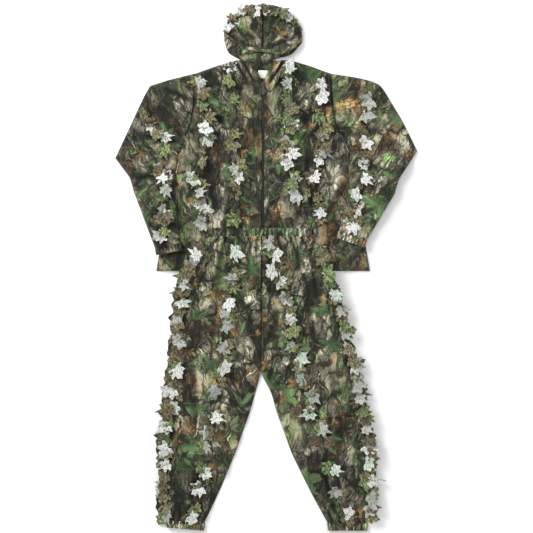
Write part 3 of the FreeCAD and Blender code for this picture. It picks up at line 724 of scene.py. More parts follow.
def add_object(name: str, bm: BMesh, materials: Sequence[Material],
               smooth_faces: bool = True) -> Object:
    """Turn a bmesh into a piece at the origin.

    Args:
        name: The piece's name.
        bm: The shape, which is freed.
        materials: Its material slots, in order.
        smooth_faces: Whether its faces are shaded smoothly.

    Returns:
        The new object.
    """
    for face in bm.faces:
        face.smooth = smooth_faces
    mesh = bpy.data.meshes.new(name)
    bm.to_mesh(mesh)
    bm.free()
    for material in materials:
        mesh.materials.append(material)
    made = bpy.data.objects.new(name, mesh)
    bpy.context.scene.collection.objects.link(made)
    return made


def new_grid(columns: int, rows: int) -> BMesh:
    """Start a sheet one unit across, to be laid over a shape."""
    bm = bmesh.new()
    bmesh.ops.create_grid(bm, x_segments=columns, y_segments=rows, size=0.5)
    return bm


def face_up(bm: BMesh) -> None:
    """Turn a sheet's faces upwards."""
    bm.normal_update()
    if sum(face.normal.z for face in bm.faces) < 0:
        bmesh.ops.reverse_faces(bm, faces=bm.faces)


def set_cloth_map(bm: BMesh, turn: float, shift: Point) -> None:
    """Write cloth coordinates, in metres, from the plan: turned and shifted for each panel."""
    layer = bm.loops.layers.uv.new("cloth")
    turned = Matrix.Rotation(turn, 2)
    for face in bm.faces:
        for loop in face.loops:
            loop[layer].uv = turned @ loop.vert.co.xy + Vector(shift)


def thicken(piece: Object, thickness: float, levels: int, inner: bool) -> None:
    """Give a cloth piece its thickness and smooth it."""
    if levels:
        soft = piece.modifiers.new("soft", "SUBSURF")
        soft.levels = levels
        soft.render_levels = levels
        soft.boundary_smooth = "PRESERVE_CORNERS"
    wall = piece.modifiers.new("cloth_thickness", "SOLIDIFY")
    wall.thickness = thickness
    wall.offset = -1.0
    wall.material_offset = 1 if inner else 0


@dataclass
class Panel:
    """A piece of cloth laid flat, or nearly so.

    Attributes:
        name: The name of the piece.
        patch: Its shape in plan.
        replaces: The CAD nodes that it stands for.
        body: The body it moves with.
        lift: How high its cloth stands above what it lies on.
        support: Gives the height it lies on at a plan position.
        closed: The sides where it turns down, and the share of the side where that starts.
        folds: Its drawn folds.
        gathers: Its gathered sides.
        turn: How far its print is turned.
        shift: Where its print starts.
        roll: How wide the turn-down at a closed side is.
        spacing: The size of its mesh.
        ruck: How strongly the laid cloth is rucked.
        crumples: Whether the simulation crumples it.
        bend: The joint it bends across: the bodies and the start and end places.
        rests_on: The names of what it lies on; not used.
        tone: How much lighter or darker its print is than the rest.
        face_down: Whether its printed face is underneath, as on the suit's back.
    """

    name: str
    patch: Patch
    replaces: tuple[str, ...]
    body: str
    lift: float = 0.0155
    support: Callable[[float, float], float] = lambda x, y: 0.0
    closed: tuple[tuple[Side, float], ...] = ()
    folds: tuple[Fold, ...] = ()
    gathers: tuple[Gather, ...] = ()
    turn: float = 0.0
    shift: Point = (0.0, 0.0)
    roll: float = 0.022
    spacing: float = 0.0065
    ruck: float = 0.003
    crumples: bool = True
    bend: tuple[str, str, Vector, Vector] | None = None
    rests_on: tuple[str, ...] = ()
    tone: float = 0.0
    face_down: bool = False
    made: Object | None = field(default=None, init=False)
    area: float = field(default=0.0, init=False)

    def relief(self, u: float, v: float, spot: Vector) -> float:
        """Give how far the drawn folds and pleats lift the cloth at one of its points."""
        return (sum(fold.lift(spot) for fold in self.folds)
                + sum(gather.lift(u, v, self.turn) for gather in self.gathers))

    def height(self, u: float, v: float, spot: Vector, wide: float, tall: float) -> float:
        """Give the cloth's height at one of its points."""
        share = 1.0
        away = {Side.LEFT: u * wide, Side.RIGHT: (1 - u) * wide,
                Side.TOP: v * tall, Side.BOTTOM: (1 - v) * tall}
        for side, start in self.closed:
            near = min(away[side] / self.roll, 1.0)
            along = v if side in (Side.LEFT, Side.RIGHT) else u
            open_part = 1.0 - smooth((along - start + 0.04) / 0.04)
            share = min(share, max(math.sqrt(max(1.0 - (1.0 - near) ** 2, 0.0)), open_part))
        base = self.support(spot.x, spot.y)
        waves = self.ruck * (1.5 * rough(spot.x, spot.y * 0.7, 11.0, self.turn)
                             + rough(spot.x, spot.y, 24.0, self.turn + 2.0)
                             + 0.5 * rough(spot.x, spot.y * 0.6, 46.0, self.turn + 5.0))
        waves += self.relief(u, v, spot)
        return base + CLOTH_GAP + max(self.lift * share + waves * (0.25 + 0.75 * share), 0.0)

    def build(self, finishes: Finishes) -> Object:
        """Build the panel's surface, before it is crumpled and thickened."""
        tall = (self.patch.left.at(0) - self.patch.left.at(1)).length
        middle_left, middle_right = self.patch.at(0, 0.5), self.patch.at(1, 0.5)
        wide = (middle_left - middle_right).length
        columns = max(int(wide / self.spacing), 4)
        rows = max(int(tall / self.spacing), 4)
        bm = new_grid(columns, rows)
        painted_light_and_tone = bm.verts.layers.float.new("painted_light_and_tone")
        for vert in bm.verts:
            u, v = vert.co.x + 0.5, 0.5 - vert.co.y
            spot = self.patch.at(u, v)
            # Painted shade in the furrows and painted highlight on the ridges, plus the panel's tone, stored
            # for the print to multiply by.
            vert[painted_light_and_tone] = self.tone + min(max(self.relief(u, v, spot) / 0.007, -0.8), 0.32)
            across = (self.patch.at(0, v) - self.patch.at(1, v)).length
            vert.co = (spot.x, spot.y, self.height(u, v, spot, across, tall))
        face_up(bm)
        set_cloth_map(bm, self.turn, self.shift)
        self.area = sum(face.calc_area() for face in bm.faces)
        cloths = (finishes.print, finishes.reverse)
        self.made = add_object(self.name, bm, cloths[::-1] if self.face_down else cloths)
        return self.made

    def finish(self, trimmings: Sequence[Object] = ()) -> None:
        """Thicken the cloth, hide the CAD nodes it stands for, and tie it to what it moves with."""
        piece = self.made
        thicken(piece, 0.0012, 1, inner=True)
        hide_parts(*self.replaces)
        if self.bend:
            first, second, start, end = self.bend
            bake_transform(piece, first, second, start=tuple(start), end=tuple(end))
        else:
            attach(piece, self.body)


def bend_across(first: str, second: str, start: float, end: float) -> tuple[str, str, Vector, Vector]:
    """Give the joint that a panel bends across, between two places along Y."""
    return first, second, Vector((0.0, start, 0.0)), Vector((0.0, end, 0.0))


def node_panel(node: str, body: str, patch: Patch, **settings: object) -> Panel:
    """Describe the panel that stands for one CAD node."""
    return Panel(node + "_cloth", patch, (node,), body, **settings)


def backing(node: str, body: str, patch: Patch, lift: float = 0.0004, **settings: object) -> Panel:
    """Describe a plain underside, flat under its front, with its printed face down."""
    return node_panel(
        node, body, patch, lift=lift, ruck=0.0004, crumples=False, face_down=True, **settings)


def crumple(panels: Sequence[Panel], ease: float = 0.05, cap: float = 0.006, frames: int = 16) -> None:
    """Let the laid cloth buckle, held at its seams, by a short cloth simulation.

    Args:
        panels: The panels to crumple.
        ease: How much larger the cloth is than the space that it is held in.
        cap: The furthest that a point may move.
        frames: How long the simulation runs.
    """
    scene = bpy.context.scene
    before = {}
    for panel in panels:
        piece = panel.made
        held = piece.vertex_groups.new(name="held")
        edge = {index for edge in piece.data.edges if edge.is_loose for index in edge.vertices}
        counts: dict[tuple[int, int], int] = {}
        for polygon in piece.data.polygons:
            for key in polygon.edge_keys:
                counts[key] = counts.get(key, 0) + 1
        for key, count in counts.items():
            if count == 1:
                edge.update(key)
        held.add(sorted(edge), 1.0, "REPLACE")
        cloth = piece.modifiers.new("laid", "CLOTH")
        settings = cloth.settings
        settings.vertex_group_mass = "held"
        settings.quality = 4
        settings.mass = 0.15
        settings.tension_stiffness = settings.compression_stiffness = 20.0
        settings.shear_stiffness = 8.0
        settings.bending_stiffness = 0.15
        settings.shrink_min = -ease
        settings.effector_weights.gravity = 0.0
        cloth.collision_settings.use_collision = False
        cloth.point_cache.frame_end = frames + 1
        before[piece.name] = [vert.co.copy() for vert in piece.data.vertices]
    for frame_number in range(1, frames + 1):
        scene.frame_set(frame_number)
    graph = bpy.context.evaluated_depsgraph_get()
    for panel in panels:
        piece = panel.made
        settled = [vert.co.copy() for vert in piece.evaluated_get(graph).data.vertices]
        for vert, start, end in zip(piece.data.vertices, before[piece.name], settled):
            move = end - start
            if move.length > cap:
                move *= cap / move.length
            vert.co = start + move
            floor = panel.support(vert.co.x, vert.co.y) + CLOTH_GAP
            vert.co.z = max(vert.co.z, floor)
        piece.modifiers.remove(piece.modifiers["laid"])
        piece.vertex_groups.clear()
    scene.frame_set(1)


def cloth_surface(panels: Sequence[Panel]) -> BVHTree:
    """Gather the panels' faces into one surface that things can be laid on."""
    bm = bmesh.new()
    for panel in panels:
        bm.from_mesh(panel.made.data)
    tree = BVHTree.FromBMesh(bm)
    bm.free()
    return tree


def drop_on(surface: BVHTree, x: float, y: float, floor: float = 0.001) -> float:
    """Find the height of the cloth under a place."""
    hit = surface.ray_cast(Vector((x, y, 0.5)), Vector((0.0, 0.0, -1.0)))
    return hit[0].z if hit[0] else floor


# ---- bands ----

@dataclass
class GatheredBand:
    """A gathered band: a flattened loop of cloth ruffled by the elastic inside it.

    Attributes:
        name: The name of the piece.
        node: The CAD node it stands for.
        body: The body it moves with.
        left: The left end, at the middle of the band's depth.
        right: The right end.
        deep: How long the band is, along the limb.
        base: The height it lies at.
        tall: Its height when flattened.
        ruffles: How many ruffles each face has.
        rise: How high a ruffle stands.
        slot: The name of a material slot; not used.
    """

    name: str
    node: str
    body: str
    left: Point
    right: Point
    deep: float
    base: float
    tall: float
    ruffles: int
    rise: float
    slot: str = "leaf_print_cloth"

    def make(self, material: Material, inner: Material) -> Object:
        left, right = Vector(self.left), Vector(self.right)
        run = right - left
        along = run.normalized()
        down = Vector((along.y, -along.x))
        round_end = self.tall / 2
        straight = run.length - 2 * round_end
        loop_length = 2 * straight + math.tau * round_end
        columns = max(self.ruffles * 14, 80)
        bm = new_grid(columns, 6)
        layer = bm.loops.layers.uv.new("cloth")
        painted_light_and_tone = bm.verts.layers.float.new("painted_light_and_tone")
        for face in bm.faces:
            for loop in face.loops:
                spot = loop.vert.co
                loop[layer].uv = ((spot.x + 0.5) * loop_length * 1.5,
                                  spot.y * self.deep + 0.3 * len(self.name))
        for vert in bm.verts:
            share, across = vert.co.x + 0.5, -vert.co.y
            place, outward = self.loop_point(share * loop_length, straight, round_end)
            seed = len(self.name) * 0.37
            wobble = noise.noise(Vector((share * self.ruffles * 0.7, across * 2, seed)))
            wave = math.sin(math.tau * (share * self.ruffles * 2) + 1.3 * wobble)
            ruffle = self.rise * (0.6 + 0.5 * wobble) * wave
            ruffle *= 1.0 - 0.35 * (1 - abs(2 * across))
            # Painted highlight on the ruffles' crests and painted shade in their troughs, stored for the
            # print.
            vert[painted_light_and_tone] = 0.55 * wave + 0.1
            place += outward * (ruffle + self.rise * 0.4)
            depth = across * self.deep * (1 + 0.05 * wave * (1 if across > 0 else -1))
            flat = left + along * place.x + down * depth
            vert.co = (flat.x, flat.y, self.base + max(place.y, 0.0008))
        bmesh.ops.remove_doubles(bm, verts=bm.verts, dist=1e-5)
        bmesh.ops.recalc_face_normals(bm, faces=bm.faces)
        top = max(bm.faces, key=lambda face: face.calc_center_median().z)
        if top.normal.z < 0:
            bmesh.ops.reverse_faces(bm, faces=bm.faces)
        area = sum(face.calc_area() for face in bm.faces)
        piece = add_object(self.name, bm, (material, inner))
        thicken(piece, 0.0012, 1, inner=True)
        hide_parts(self.node)
        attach(piece, self.body)
        return piece

    def loop_point(self, distance: float, straight: float, round_end: float) -> tuple[Vector, Vector]:
        """Walk round the flattened loop: over the top, round, back underneath and round."""
        arc = math.pi * round_end
        if distance < straight:
            return Vector((round_end + distance, self.tall)), Vector((0.0, 1.0))
        distance -= straight
        if distance < arc:
            angle = math.pi / 2 - distance / round_end
            out = Vector((math.cos(angle), math.sin(angle)))
            return Vector((round_end + straight, round_end)) + out * round_end, out
        distance -= arc
        if distance < straight:
            return Vector((round_end + straight - distance, 0.0)), Vector((0.0, -0.15))
        angle = -math.pi / 2 - (distance - straight) / round_end
        out = Vector((math.cos(angle), math.sin(angle)))
        return Vector((round_end, round_end)) + out * round_end, out


def band_pair(stem: str, body: str, left: Point, right: Point, inset: Vector, casing: Sequence[float],
              elastic: Sequence[float], ruffles: int) -> tuple[GatheredBand, GatheredBand]:
    """Describe a gathered casing and the elastic in it.

    Args:
        stem: What the names of both start with.
        body: The body they move with.
        left: The casing's left end.
        right: Its right end.
        inset: How far inside the casing's ends the elastic stops.
        casing: The casing's depth, base height, flattened height and ruffle height.
        elastic: The same of the elastic.
        ruffles: How many ruffles each face has.

    Returns:
        The casing and the elastic.
    """
    ends = tuple(Vector(left) + inset), tuple(Vector(right) - inset)
    deep, base, tall, rise = casing
    outer = GatheredBand(
        stem + "_casing_cloth", stem + "_casing", body, left, right, deep, base, tall, ruffles, rise)
    deep, base, tall, rise = elastic
    return outer, GatheredBand(
        stem + "_elastic_web", stem + "_elastic", body, *ends, deep, base, tall, ruffles, rise,
        "elastic_webbing")


# ---- leaves ----

@dataclass(frozen=True)
class LeafShape:
    """The outline of a cut leaf, as how far it reaches every 15 degrees from its tip to its stalk."""

    reach: tuple[float, ...]
    wide: float
    long: float

    def at(self, angle: float) -> float:
        """Give how far the outline reaches at an angle from the tip."""
        return self.reach[int(round(abs(angle) / math.pi * (len(self.reach) - 1)))]


LEAF_SHAPES = (
    LeafShape((0.6, 0.44, 0.46, 0.33, 0.56, 0.46, 0.33, 0.48, 0.4, 0.26, 0.2, 0.11, 0.26), 0.92, 1.0),
    LeafShape((0.58, 0.36, 0.3, 0.48, 0.44, 0.3, 0.44, 0.42, 0.28, 0.36, 0.24, 0.12, 0.22), 0.85, 1.12),
    LeafShape((0.52, 0.46, 0.34, 0.5, 0.54, 0.4, 0.36, 0.46, 0.44, 0.3, 0.26, 0.14, 0.18), 1.02, 0.95),
)


class LeafCutter:
    """Cuts leaves out of cloth, each a little different, and lays them along the strips."""

    def __init__(self, seed: int) -> None:
        """Start a repeatable run of leaves."""
        self.random = random.Random(seed)

    def cut(self, bm: BMesh, place: Vector, heading: float, size: float, flipped: bool,
            tilt: float, surface: BVHTree) -> None:
        """Cut one leaf and lay it down.

        Args:
            bm: The strip's leaves so far.
            place: Where its stalk is sewn.
            heading: The direction it points, in plan.
            size: Its length.
            flipped: Whether its pale back shows.
            tilt: How far its tip is raised.
            surface: The cloth under it.
        """
        draw = self.random
        tone = draw.random()
        shape = draw.choice(LEAF_SHAPES)
        shear = draw.uniform(-0.25, 0.25)
        made = bmesh.ops.create_circle(bm, cap_ends=True, cap_tris=True, segments=24, radius=1.0)
        verts = made["verts"]
        tone_layer = bm.verts.layers.float["tone"]
        vein_layer = bm.verts.layers.float["vein"]
        faces = list({face for vert in verts for face in vert.link_faces})
        curl = draw.uniform(-0.25, 0.75)
        cup = draw.uniform(-0.35, 0.6)
        twist = draw.uniform(-0.45, 0.45)
        turn = Matrix.Rotation(heading, 3, "Z")
        lean = Matrix.Rotation(-tilt, 3, "Y") @ Matrix.Rotation(twist, 3, "X")
        start = min(math.atan2(vert.co.y, vert.co.x) % (math.tau / 24) for vert in verts
                    if vert.co.length > 0.5)
        for vert in verts:
            rim = vert.co.length > 0.5
            angle = math.atan2(vert.co.y, vert.co.x) - start if rim else 0.0
            angle = (angle + math.pi) % math.tau - math.pi
            reach = shape.at(angle) * draw.uniform(0.84, 1.13) if rim else 0.0
            vert[vein_layer] = 1.0 if reach > 0.45 or not rim else 0.0
            vert[tone_layer] = min(max(tone + draw.uniform(-0.12, 0.12), 0.0), 1.0)
            x = 0.4 + reach * math.cos(angle) * shape.long
            y = reach * math.sin(angle) * shape.wide + shear * (x - 0.4)
            z = curl * max(x - 0.2, 0.0) ** 2 * 0.55 + cup * abs(y) * 0.65 + draw.uniform(-0.03, 0.03)
            spot = place + turn @ (lean @ (Vector((x, y, z)) * size))
            spot.z = min(max(spot.z, drop_on(surface, spot.x, spot.y, 0.0015) + 0.0017), 0.06)
            vert.co = spot
        back = bmesh.ops.duplicate(bm, geom=list(verts) + faces)["geom"]
        under_verts = [item for item in back if isinstance(item, bmesh.types.BMVert)]
        under_faces = [item for item in back if isinstance(item, bmesh.types.BMFace)]
        for face in faces:
            face.normal_update()
        upright = sum(face.normal.z for face in faces) > 0
        bmesh.ops.reverse_faces(bm, faces=under_faces if upright else faces)
        for vert in under_verts:
            vert.co.z -= 0.0008
        rim_edges = dict.fromkeys(edge for face in faces + under_faces for edge in face.edges
                                  if len(edge.link_faces) == 1)
        wall = bmesh.ops.bridge_loops(bm, edges=list(rim_edges))["faces"]
        for face in faces + wall:
            face.material_index = 1 if flipped else 0
        for face in under_faces:
            face.material_index = 0 if flipped else 1


@dataclass
class LeafStrip:
    """A ribbon of cloth sewn down the suit, with leaves cut along it.

    Attributes:
        node: The CAD node it stands for.
        body: The body it moves with.
        panel: The panel it is sewn to.
        line: The points of its middle line in plan.
        pale: Where the leaves that show their pale backs are, as shares of the line.
        reach: Which way its leaves point: -1 left, 1 right, 0 both.
        step: The distance between the other leaves.
        size: The length of a leaf.
        width: The width of the ribbon.
    """

    node: str
    body: str
    panel: str
    line: tuple[Point, ...]
    pale: tuple[float, ...]
    reach: int = 0
    step: float = 0.04
    size: float = 0.064
    width: float = 0.03

    @property
    def route(self) -> Edge:
        """The strip's curved middle line."""
        return Edge(self.line, True)

    def length(self) -> float:
        """Measure the route."""
        spots = [self.route.at(index / 40) for index in range(41)]
        return sum((b - a).length for a, b in zip(spots, spots[1:]))

    def heading(self, share: float) -> Vector:
        """Give the direction of the route at a place."""
        ahead, behind = self.route.at(min(share + 0.02, 1.0)), self.route.at(max(share - 0.02, 0.0))
        return (ahead - behind).normalized()

    def make(self, cutter: LeafCutter, surface: BVHTree, finishes: Finishes) -> list[Object]:
        """Build the ribbon and its leaves."""
        ribbon = self.make_ribbon(surface, finishes)
        leaves = self.make_leaves(cutter, surface, finishes)
        for piece in (ribbon, leaves):
            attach(piece, self.body)
        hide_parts(self.node)
        return [ribbon, leaves]

    def make_ribbon(self, surface: BVHTree, finishes: Finishes) -> Object:
        """Lay the ribbon, with edges cut ragged between the leaves."""
        rows = max(int(self.length() / 0.007), 8)
        bm = new_grid(4, rows)
        for vert in bm.verts:
            across, share = vert.co.x, 0.5 - vert.co.y
            ahead = self.heading(share)
            aside = Vector((-ahead.y, ahead.x))
            middle = self.route.at(share)
            ragged = 1.0 + 0.45 * rough(middle.x, middle.y, 55.0, across * 3)
            spot = middle + aside * (-across * self.width * ragged)
            lift = CLOTH_GAP + 0.002 * abs(across) * 2 * (0.5 + rough(spot.x, spot.y, 40.0, 2.0))
            vert.co = (spot.x, spot.y, drop_on(surface, spot.x, spot.y) + max(lift, 0.0015))
        face_up(bm)
        set_cloth_map(bm, 0.4, (0.3, 0.1))
        piece = add_object(self.node + "_ribbon", bm, (finishes.ribbon, finishes.ribbon))
        thicken(piece, 0.0008, 0, inner=False)
        return piece

    def make_leaves(self, cutter: LeafCutter, surface: BVHTree, finishes: Finishes) -> Object:
        """Cut the leaves along the route."""
        bm = bmesh.new()
        bm.verts.layers.float.new("tone")
        bm.verts.layers.float.new("vein")
        bm.loops.layers.uv.new("cloth")
        draw = cutter.random
        count = max(int(self.length() / self.step), 2)
        places = [((index + draw.uniform(0.1, 0.9)) / count, False) for index in range(count)]
        places += [(share + draw.uniform(-0.01, 0.01), True) for share in self.pale]
        for index, (share, flipped) in enumerate(places):
            share = min(max(share, 0.0), 1.0)
            ahead = self.heading(share)
            turn = self.reach if self.reach else (1 if index % 2 else -1)
            if self.reach and draw.random() < 0.2:
                turn = -turn
            base = self.route.at(share)
            heading = math.atan2(ahead.y, ahead.x) + turn * draw.uniform(0.6, 1.7)
            start = base - Vector((math.cos(heading), math.sin(heading))) * draw.uniform(0.014, 0.026)
            rise = draw.uniform(0.006, 0.01) if flipped else draw.uniform(0.003, 0.006)
            place = Vector((start.x, start.y, drop_on(surface, start.x, start.y) + rise))
            cutter.cut(bm, place, heading, self.size * draw.uniform(0.8, 1.1), flipped,
                       draw.uniform(0.02, 0.3), surface)
        layer = bm.loops.layers.uv["cloth"]
        for face in bm.faces:
            for loop in face.loops:
                loop[layer].uv = (loop.vert.co.x * 1.3 + loop.vert.co.z, loop.vert.co.y * 1.3)
        return add_object(self.node + "_leaves", bm, (finishes.leaf_face, finishes.leaf_back), False)


# ---- the garments ----

HEM_HEIGHT = 0.019


def over_hem(x: float, y: float) -> float:
    """Give the height that the trousers lie on: the jacket's hem, then the ground."""
    return HEM_HEIGHT * smooth((y + 0.09) / 0.08)


@dataclass
class Jacket:
    """The jacket's body: its back, its two fronts and what is sewn inside the neck."""

    hem_half: float = 0.374
    armpit: Point = (0.262, 0.5)
    shoulder: Point = (0.24, 0.69)
    neck: Point = (0.092, 0.738)
    vee: Point = (0.005, 0.664)
    front_edge: float = 0.0045

    def side_edge(self, side: str) -> tuple[Point, ...]:
        """List the armhole and side seam, from the shoulder down."""
        return mirrored((self.shoulder, (self.armpit[0] - 0.016, self.armpit[1] + 0.08), self.armpit,
                         (self.armpit[0] + 0.044, 0.4), (self.armpit[0] + 0.066, 0.275),
                         (self.hem_half, 0.0)), side)

    def lay_out(self) -> list[Panel]:
        """Place the panels of the jacket's body."""
        return [self.back(), *(self.front(side) for side in SIGNS), self.facing()]

    def back(self) -> Panel:
        """Place the back panel, flat on the ground."""
        left = Edge(self.side_edge("left"))
        right = Edge(self.side_edge("right"))
        collar = (self.neck[0], self.neck[1] - 0.001)
        top = Edge((*mirrored((self.shoulder, collar), "left"), (0.0, self.neck[1] - 0.012), collar,
                    self.shoulder))
        patch = Patch(top, Edge(((-self.hem_half, 0.0), (self.hem_half, 0.0))), left, right)
        return backing("jacket_back", "jacket", patch, turn=0.3, shift=(3.1, 0.4), spacing=0.016)

    def front(self, side: str) -> Panel:
        """Place one front panel, from the zip to the side seam."""
        outer = Edge(self.side_edge(side))
        vee_top = 0.056 if side == "left" else 0.062
        vee_mid = 0.018 if side == "left" else 0.015
        inner = Edge(mirrored(((vee_top, 0.738), (vee_top - 0.006, 0.728), (vee_mid, 0.693), self.vee,
                               (self.front_edge, 0.64), (self.front_edge, 0.0)), side))
        shoulder_line = mirrored((self.shoulder, (0.165, 0.717), self.neck, (vee_top, 0.738)), side)
        hem = mirrored(((self.hem_half, 0.0), (self.front_edge, 0.0)), side)
        patch = sided_patch(side, shoulder_line, hem, outer, inner)
        collar = {
            "left": (
                (0.098, 0.736, 0.052, 0.655, -0.007, 0.005),
                (0.088, 0.738, 0.038, 0.655, 0.0065, 0.005),
                (0.078, 0.738, 0.026, 0.657, -0.0075, 0.0045),
                (0.062, 0.736, 0.012, 0.66, 0.005, 0.006),
                (0.11, 0.716, 0.062, 0.63, 0.004, 0.01),
                (0.13, 0.7, 0.04, 0.56, -0.004, 0.012)),
            "right": (
                (0.068, 0.738, 0.011, 0.662, 0.008, 0.005),
                (0.078, 0.738, 0.02, 0.655, -0.008, 0.0045),
                (0.09, 0.738, 0.032, 0.645, 0.006, 0.006),
                (0.104, 0.734, 0.04, 0.63, -0.0055, 0.005),
                (0.12, 0.712, 0.06, 0.6, 0.004, 0.012),
                (0.15, 0.69, 0.08, 0.56, -0.004, 0.012)),
        }[side]
        folds = drawn_folds(SIGNS[side], (
            *collar,
            (0.238, 0.64, 0.13, 0.56, 0.006, 0.014),
            (0.24, 0.6, 0.14, 0.52, -0.005, 0.012),
            (0.25, 0.54, 0.12, 0.47, 0.006, 0.016),
            (0.06, 0.62, 0.05, 0.3, 0.004, 0.014),
            (0.15, 0.56, 0.155, 0.33, -0.004, 0.012),
            (0.21, 0.42, 0.16, 0.2, -0.005, 0.014),
            (0.29, 0.33, 0.2, 0.16, 0.006, 0.018),
            (0.015, 0.655, 0.015, 0.01, -0.0012, 0.003),
            (self.shoulder[0] * 0.985, 0.69, 0.25, 0.52, -0.0055, 0.0055)))
        return node_panel(
            f"jacket_front_{side}", "jacket", patch, folds=folds, roll=0.018, tone=-0.26,
            closed=((Side(side), 0.27), (Side.TOP, 0.0), (Side.BOTTOM, 0.0)),
            turn=-0.15 if side == "left" else 0.2,
            shift=(0.9, 0.0) if side == "left" else (2.2, 0.7), rests_on=("jacket_back",))

    def facing(self) -> Panel:
        """Place the facing inside the back of the neck; its print is darkened with painted shade."""
        top, bottom = (0.06, 0.736), (0.034, 0.664)
        patch = Patch(Edge((*mirrored((top,), "left"), (0.0, top[1]), top)),
                      Edge((*mirrored((bottom,), "left"), bottom)),
                      Edge(mirrored((top, bottom), "left")), Edge((top, bottom)))
        # Its low tone paints the shade inside the V of the neck.
        return node_panel(
            "neck_facing", "jacket", patch, lift=0.003, ruck=0.001, turn=1.1, shift=(5.3, 2.4),
            spacing=0.004, crumples=False, tone=-0.45, rests_on=("jacket_back",))


@dataclass
class Hood:
    """The hood, turned up and lying flat above the neck."""

    crown: float = 0.934
    tall: float = 0.0235
    brim: tuple[Point, ...] = ((-0.137, 0.824), (-0.1, 0.795), (-0.06, 0.775), (-0.02, 0.766),
                               (0.02, 0.762), (0.062, 0.756), (0.098, 0.77), (0.138, 0.808))
    lip: tuple[Point, ...] = ((-0.136, 0.806), (-0.122, 0.766), (-0.094, 0.747), (-0.056, 0.729),
                              (-0.018, 0.7245), (0.018, 0.7305), (0.05, 0.744), (0.098, 0.758),
                              (0.136, 0.798))
    sides: tuple[Point, ...] = ((0.084, 0.906), (0.124, 0.868), (0.138, 0.822))

    def bend(self) -> tuple[str, str, Vector, Vector]:
        """Give the fold line at the neck."""
        return bend_across("jacket", "hood", 0.727, 0.76)

    def lay_out(self) -> list[Panel]:
        """Place the hood's two upper halves, its back, its lower lip and its hemmed brim."""
        left, right = (Edge(mirrored(self.sides, side), True) for side in SIGNS)
        top = Edge((left.points[0], (0.0, self.crown), right.points[0]), True)
        low = tuple((x * 0.98, y + 0.006) for x, y in self.lip)
        panels = [self.front(side) for side in SIGNS]
        back = Patch(top, Edge(low, True), Edge((*left.points, low[0]), True),
                     Edge((*right.points, low[-1]), True))
        panels.append(Panel(
            "hood_back_cloth", back, (), "hood", lift=0.0006, ruck=0.0006, turn=0.7,
            shift=(7.4, 0.3), spacing=0.01, crumples=False, face_down=True, bend=self.bend()))
        upper = tuple((x * 0.99, y + 0.008) for x, y in self.brim)
        creases = drawn_folds(1, (
            (-0.09, 0.785, -0.07, 0.745, -0.004, 0.006),
            (0.04, 0.757, 0.034, 0.742, -0.004, 0.006),
            (-0.02, 0.762, -0.03, 0.735, 0.003, 0.008)))
        panels.append(Panel(
            "hood_lip_cloth", self.between(upper, self.lip), (), "hood", lift=0.0175, ruck=0.0035,
            turn=0.15, shift=(6.1, 1.4), spacing=0.004, roll=0.014, crumples=False,
            bend=self.bend(), tone=-0.05, closed=((Side.BOTTOM, 0.0), *BOTH_SIDES), folds=creases))
        hem_top = tuple((x, y + 0.011) for x, y in self.brim)
        panels.append(Panel(
            "hood_brim_hem", self.between(hem_top, self.brim), ("hood_brim",), "hood",
            lift=self.tall + 0.003, ruck=0.0012, turn=0.9, shift=(1.4, 3.3), spacing=0.0035,
            roll=0.02, crumples=False, closed=BOTH_SIDES,
            rests_on=("hood_panel_left_cloth", "hood_panel_right_cloth")))
        return panels

    def between(self, top: tuple[Point, ...], bottom: tuple[Point, ...]) -> Patch:
        """Make a patch between two curved lines, with straight ends."""
        return Patch(Edge(top, True), Edge(bottom, True), Edge((top[0], bottom[0])),
                     Edge((top[-1], bottom[-1])))

    def front(self, side: str) -> Panel:
        """Place half of the hood's upper side, from the middle seam outwards."""
        sign = SIGNS[side]
        outer = Edge(mirrored(self.sides, side), True)
        middle = (0.0, 0.764)
        seam = Edge(((0.0, self.crown), middle))
        crown = (outer.points[0], (sign * 0.046, 0.928), (0.0, self.crown))
        half_brim = (*self.brim[:4], middle) if side == "left" else (middle, *self.brim[4:])
        if side == "left":
            patch = Patch(Edge(crown, True), Edge(half_brim, True), outer, seam)
        else:
            patch = Patch(Edge(crown[::-1], True), Edge(half_brim, True), seam, outer)
        folds = drawn_folds(sign, (
            (0.0, 0.93, 0.0, 0.77, -0.005, 0.005),
            (0.13, 0.845, 0.03, 0.79, 0.007, 0.01),
            (0.12, 0.822, 0.02, 0.778, -0.006, 0.009),
            (0.07, 0.9, 0.022, 0.83, 0.006, 0.012),
            (0.04, 0.905, 0.036, 0.8, -0.004, 0.009)))
        return node_panel(
            f"hood_panel_{side}", "hood", patch, lift=self.tall, folds=folds,
            closed=((Side(side), 0.0), (Side.TOP, 0.0)), turn=0.5 * sign, shift=(4.2 + sign, 1.9),
            roll=0.034, spacing=0.005, ruck=0.004, tone=-0.26, rests_on=("hood_back_cloth",))


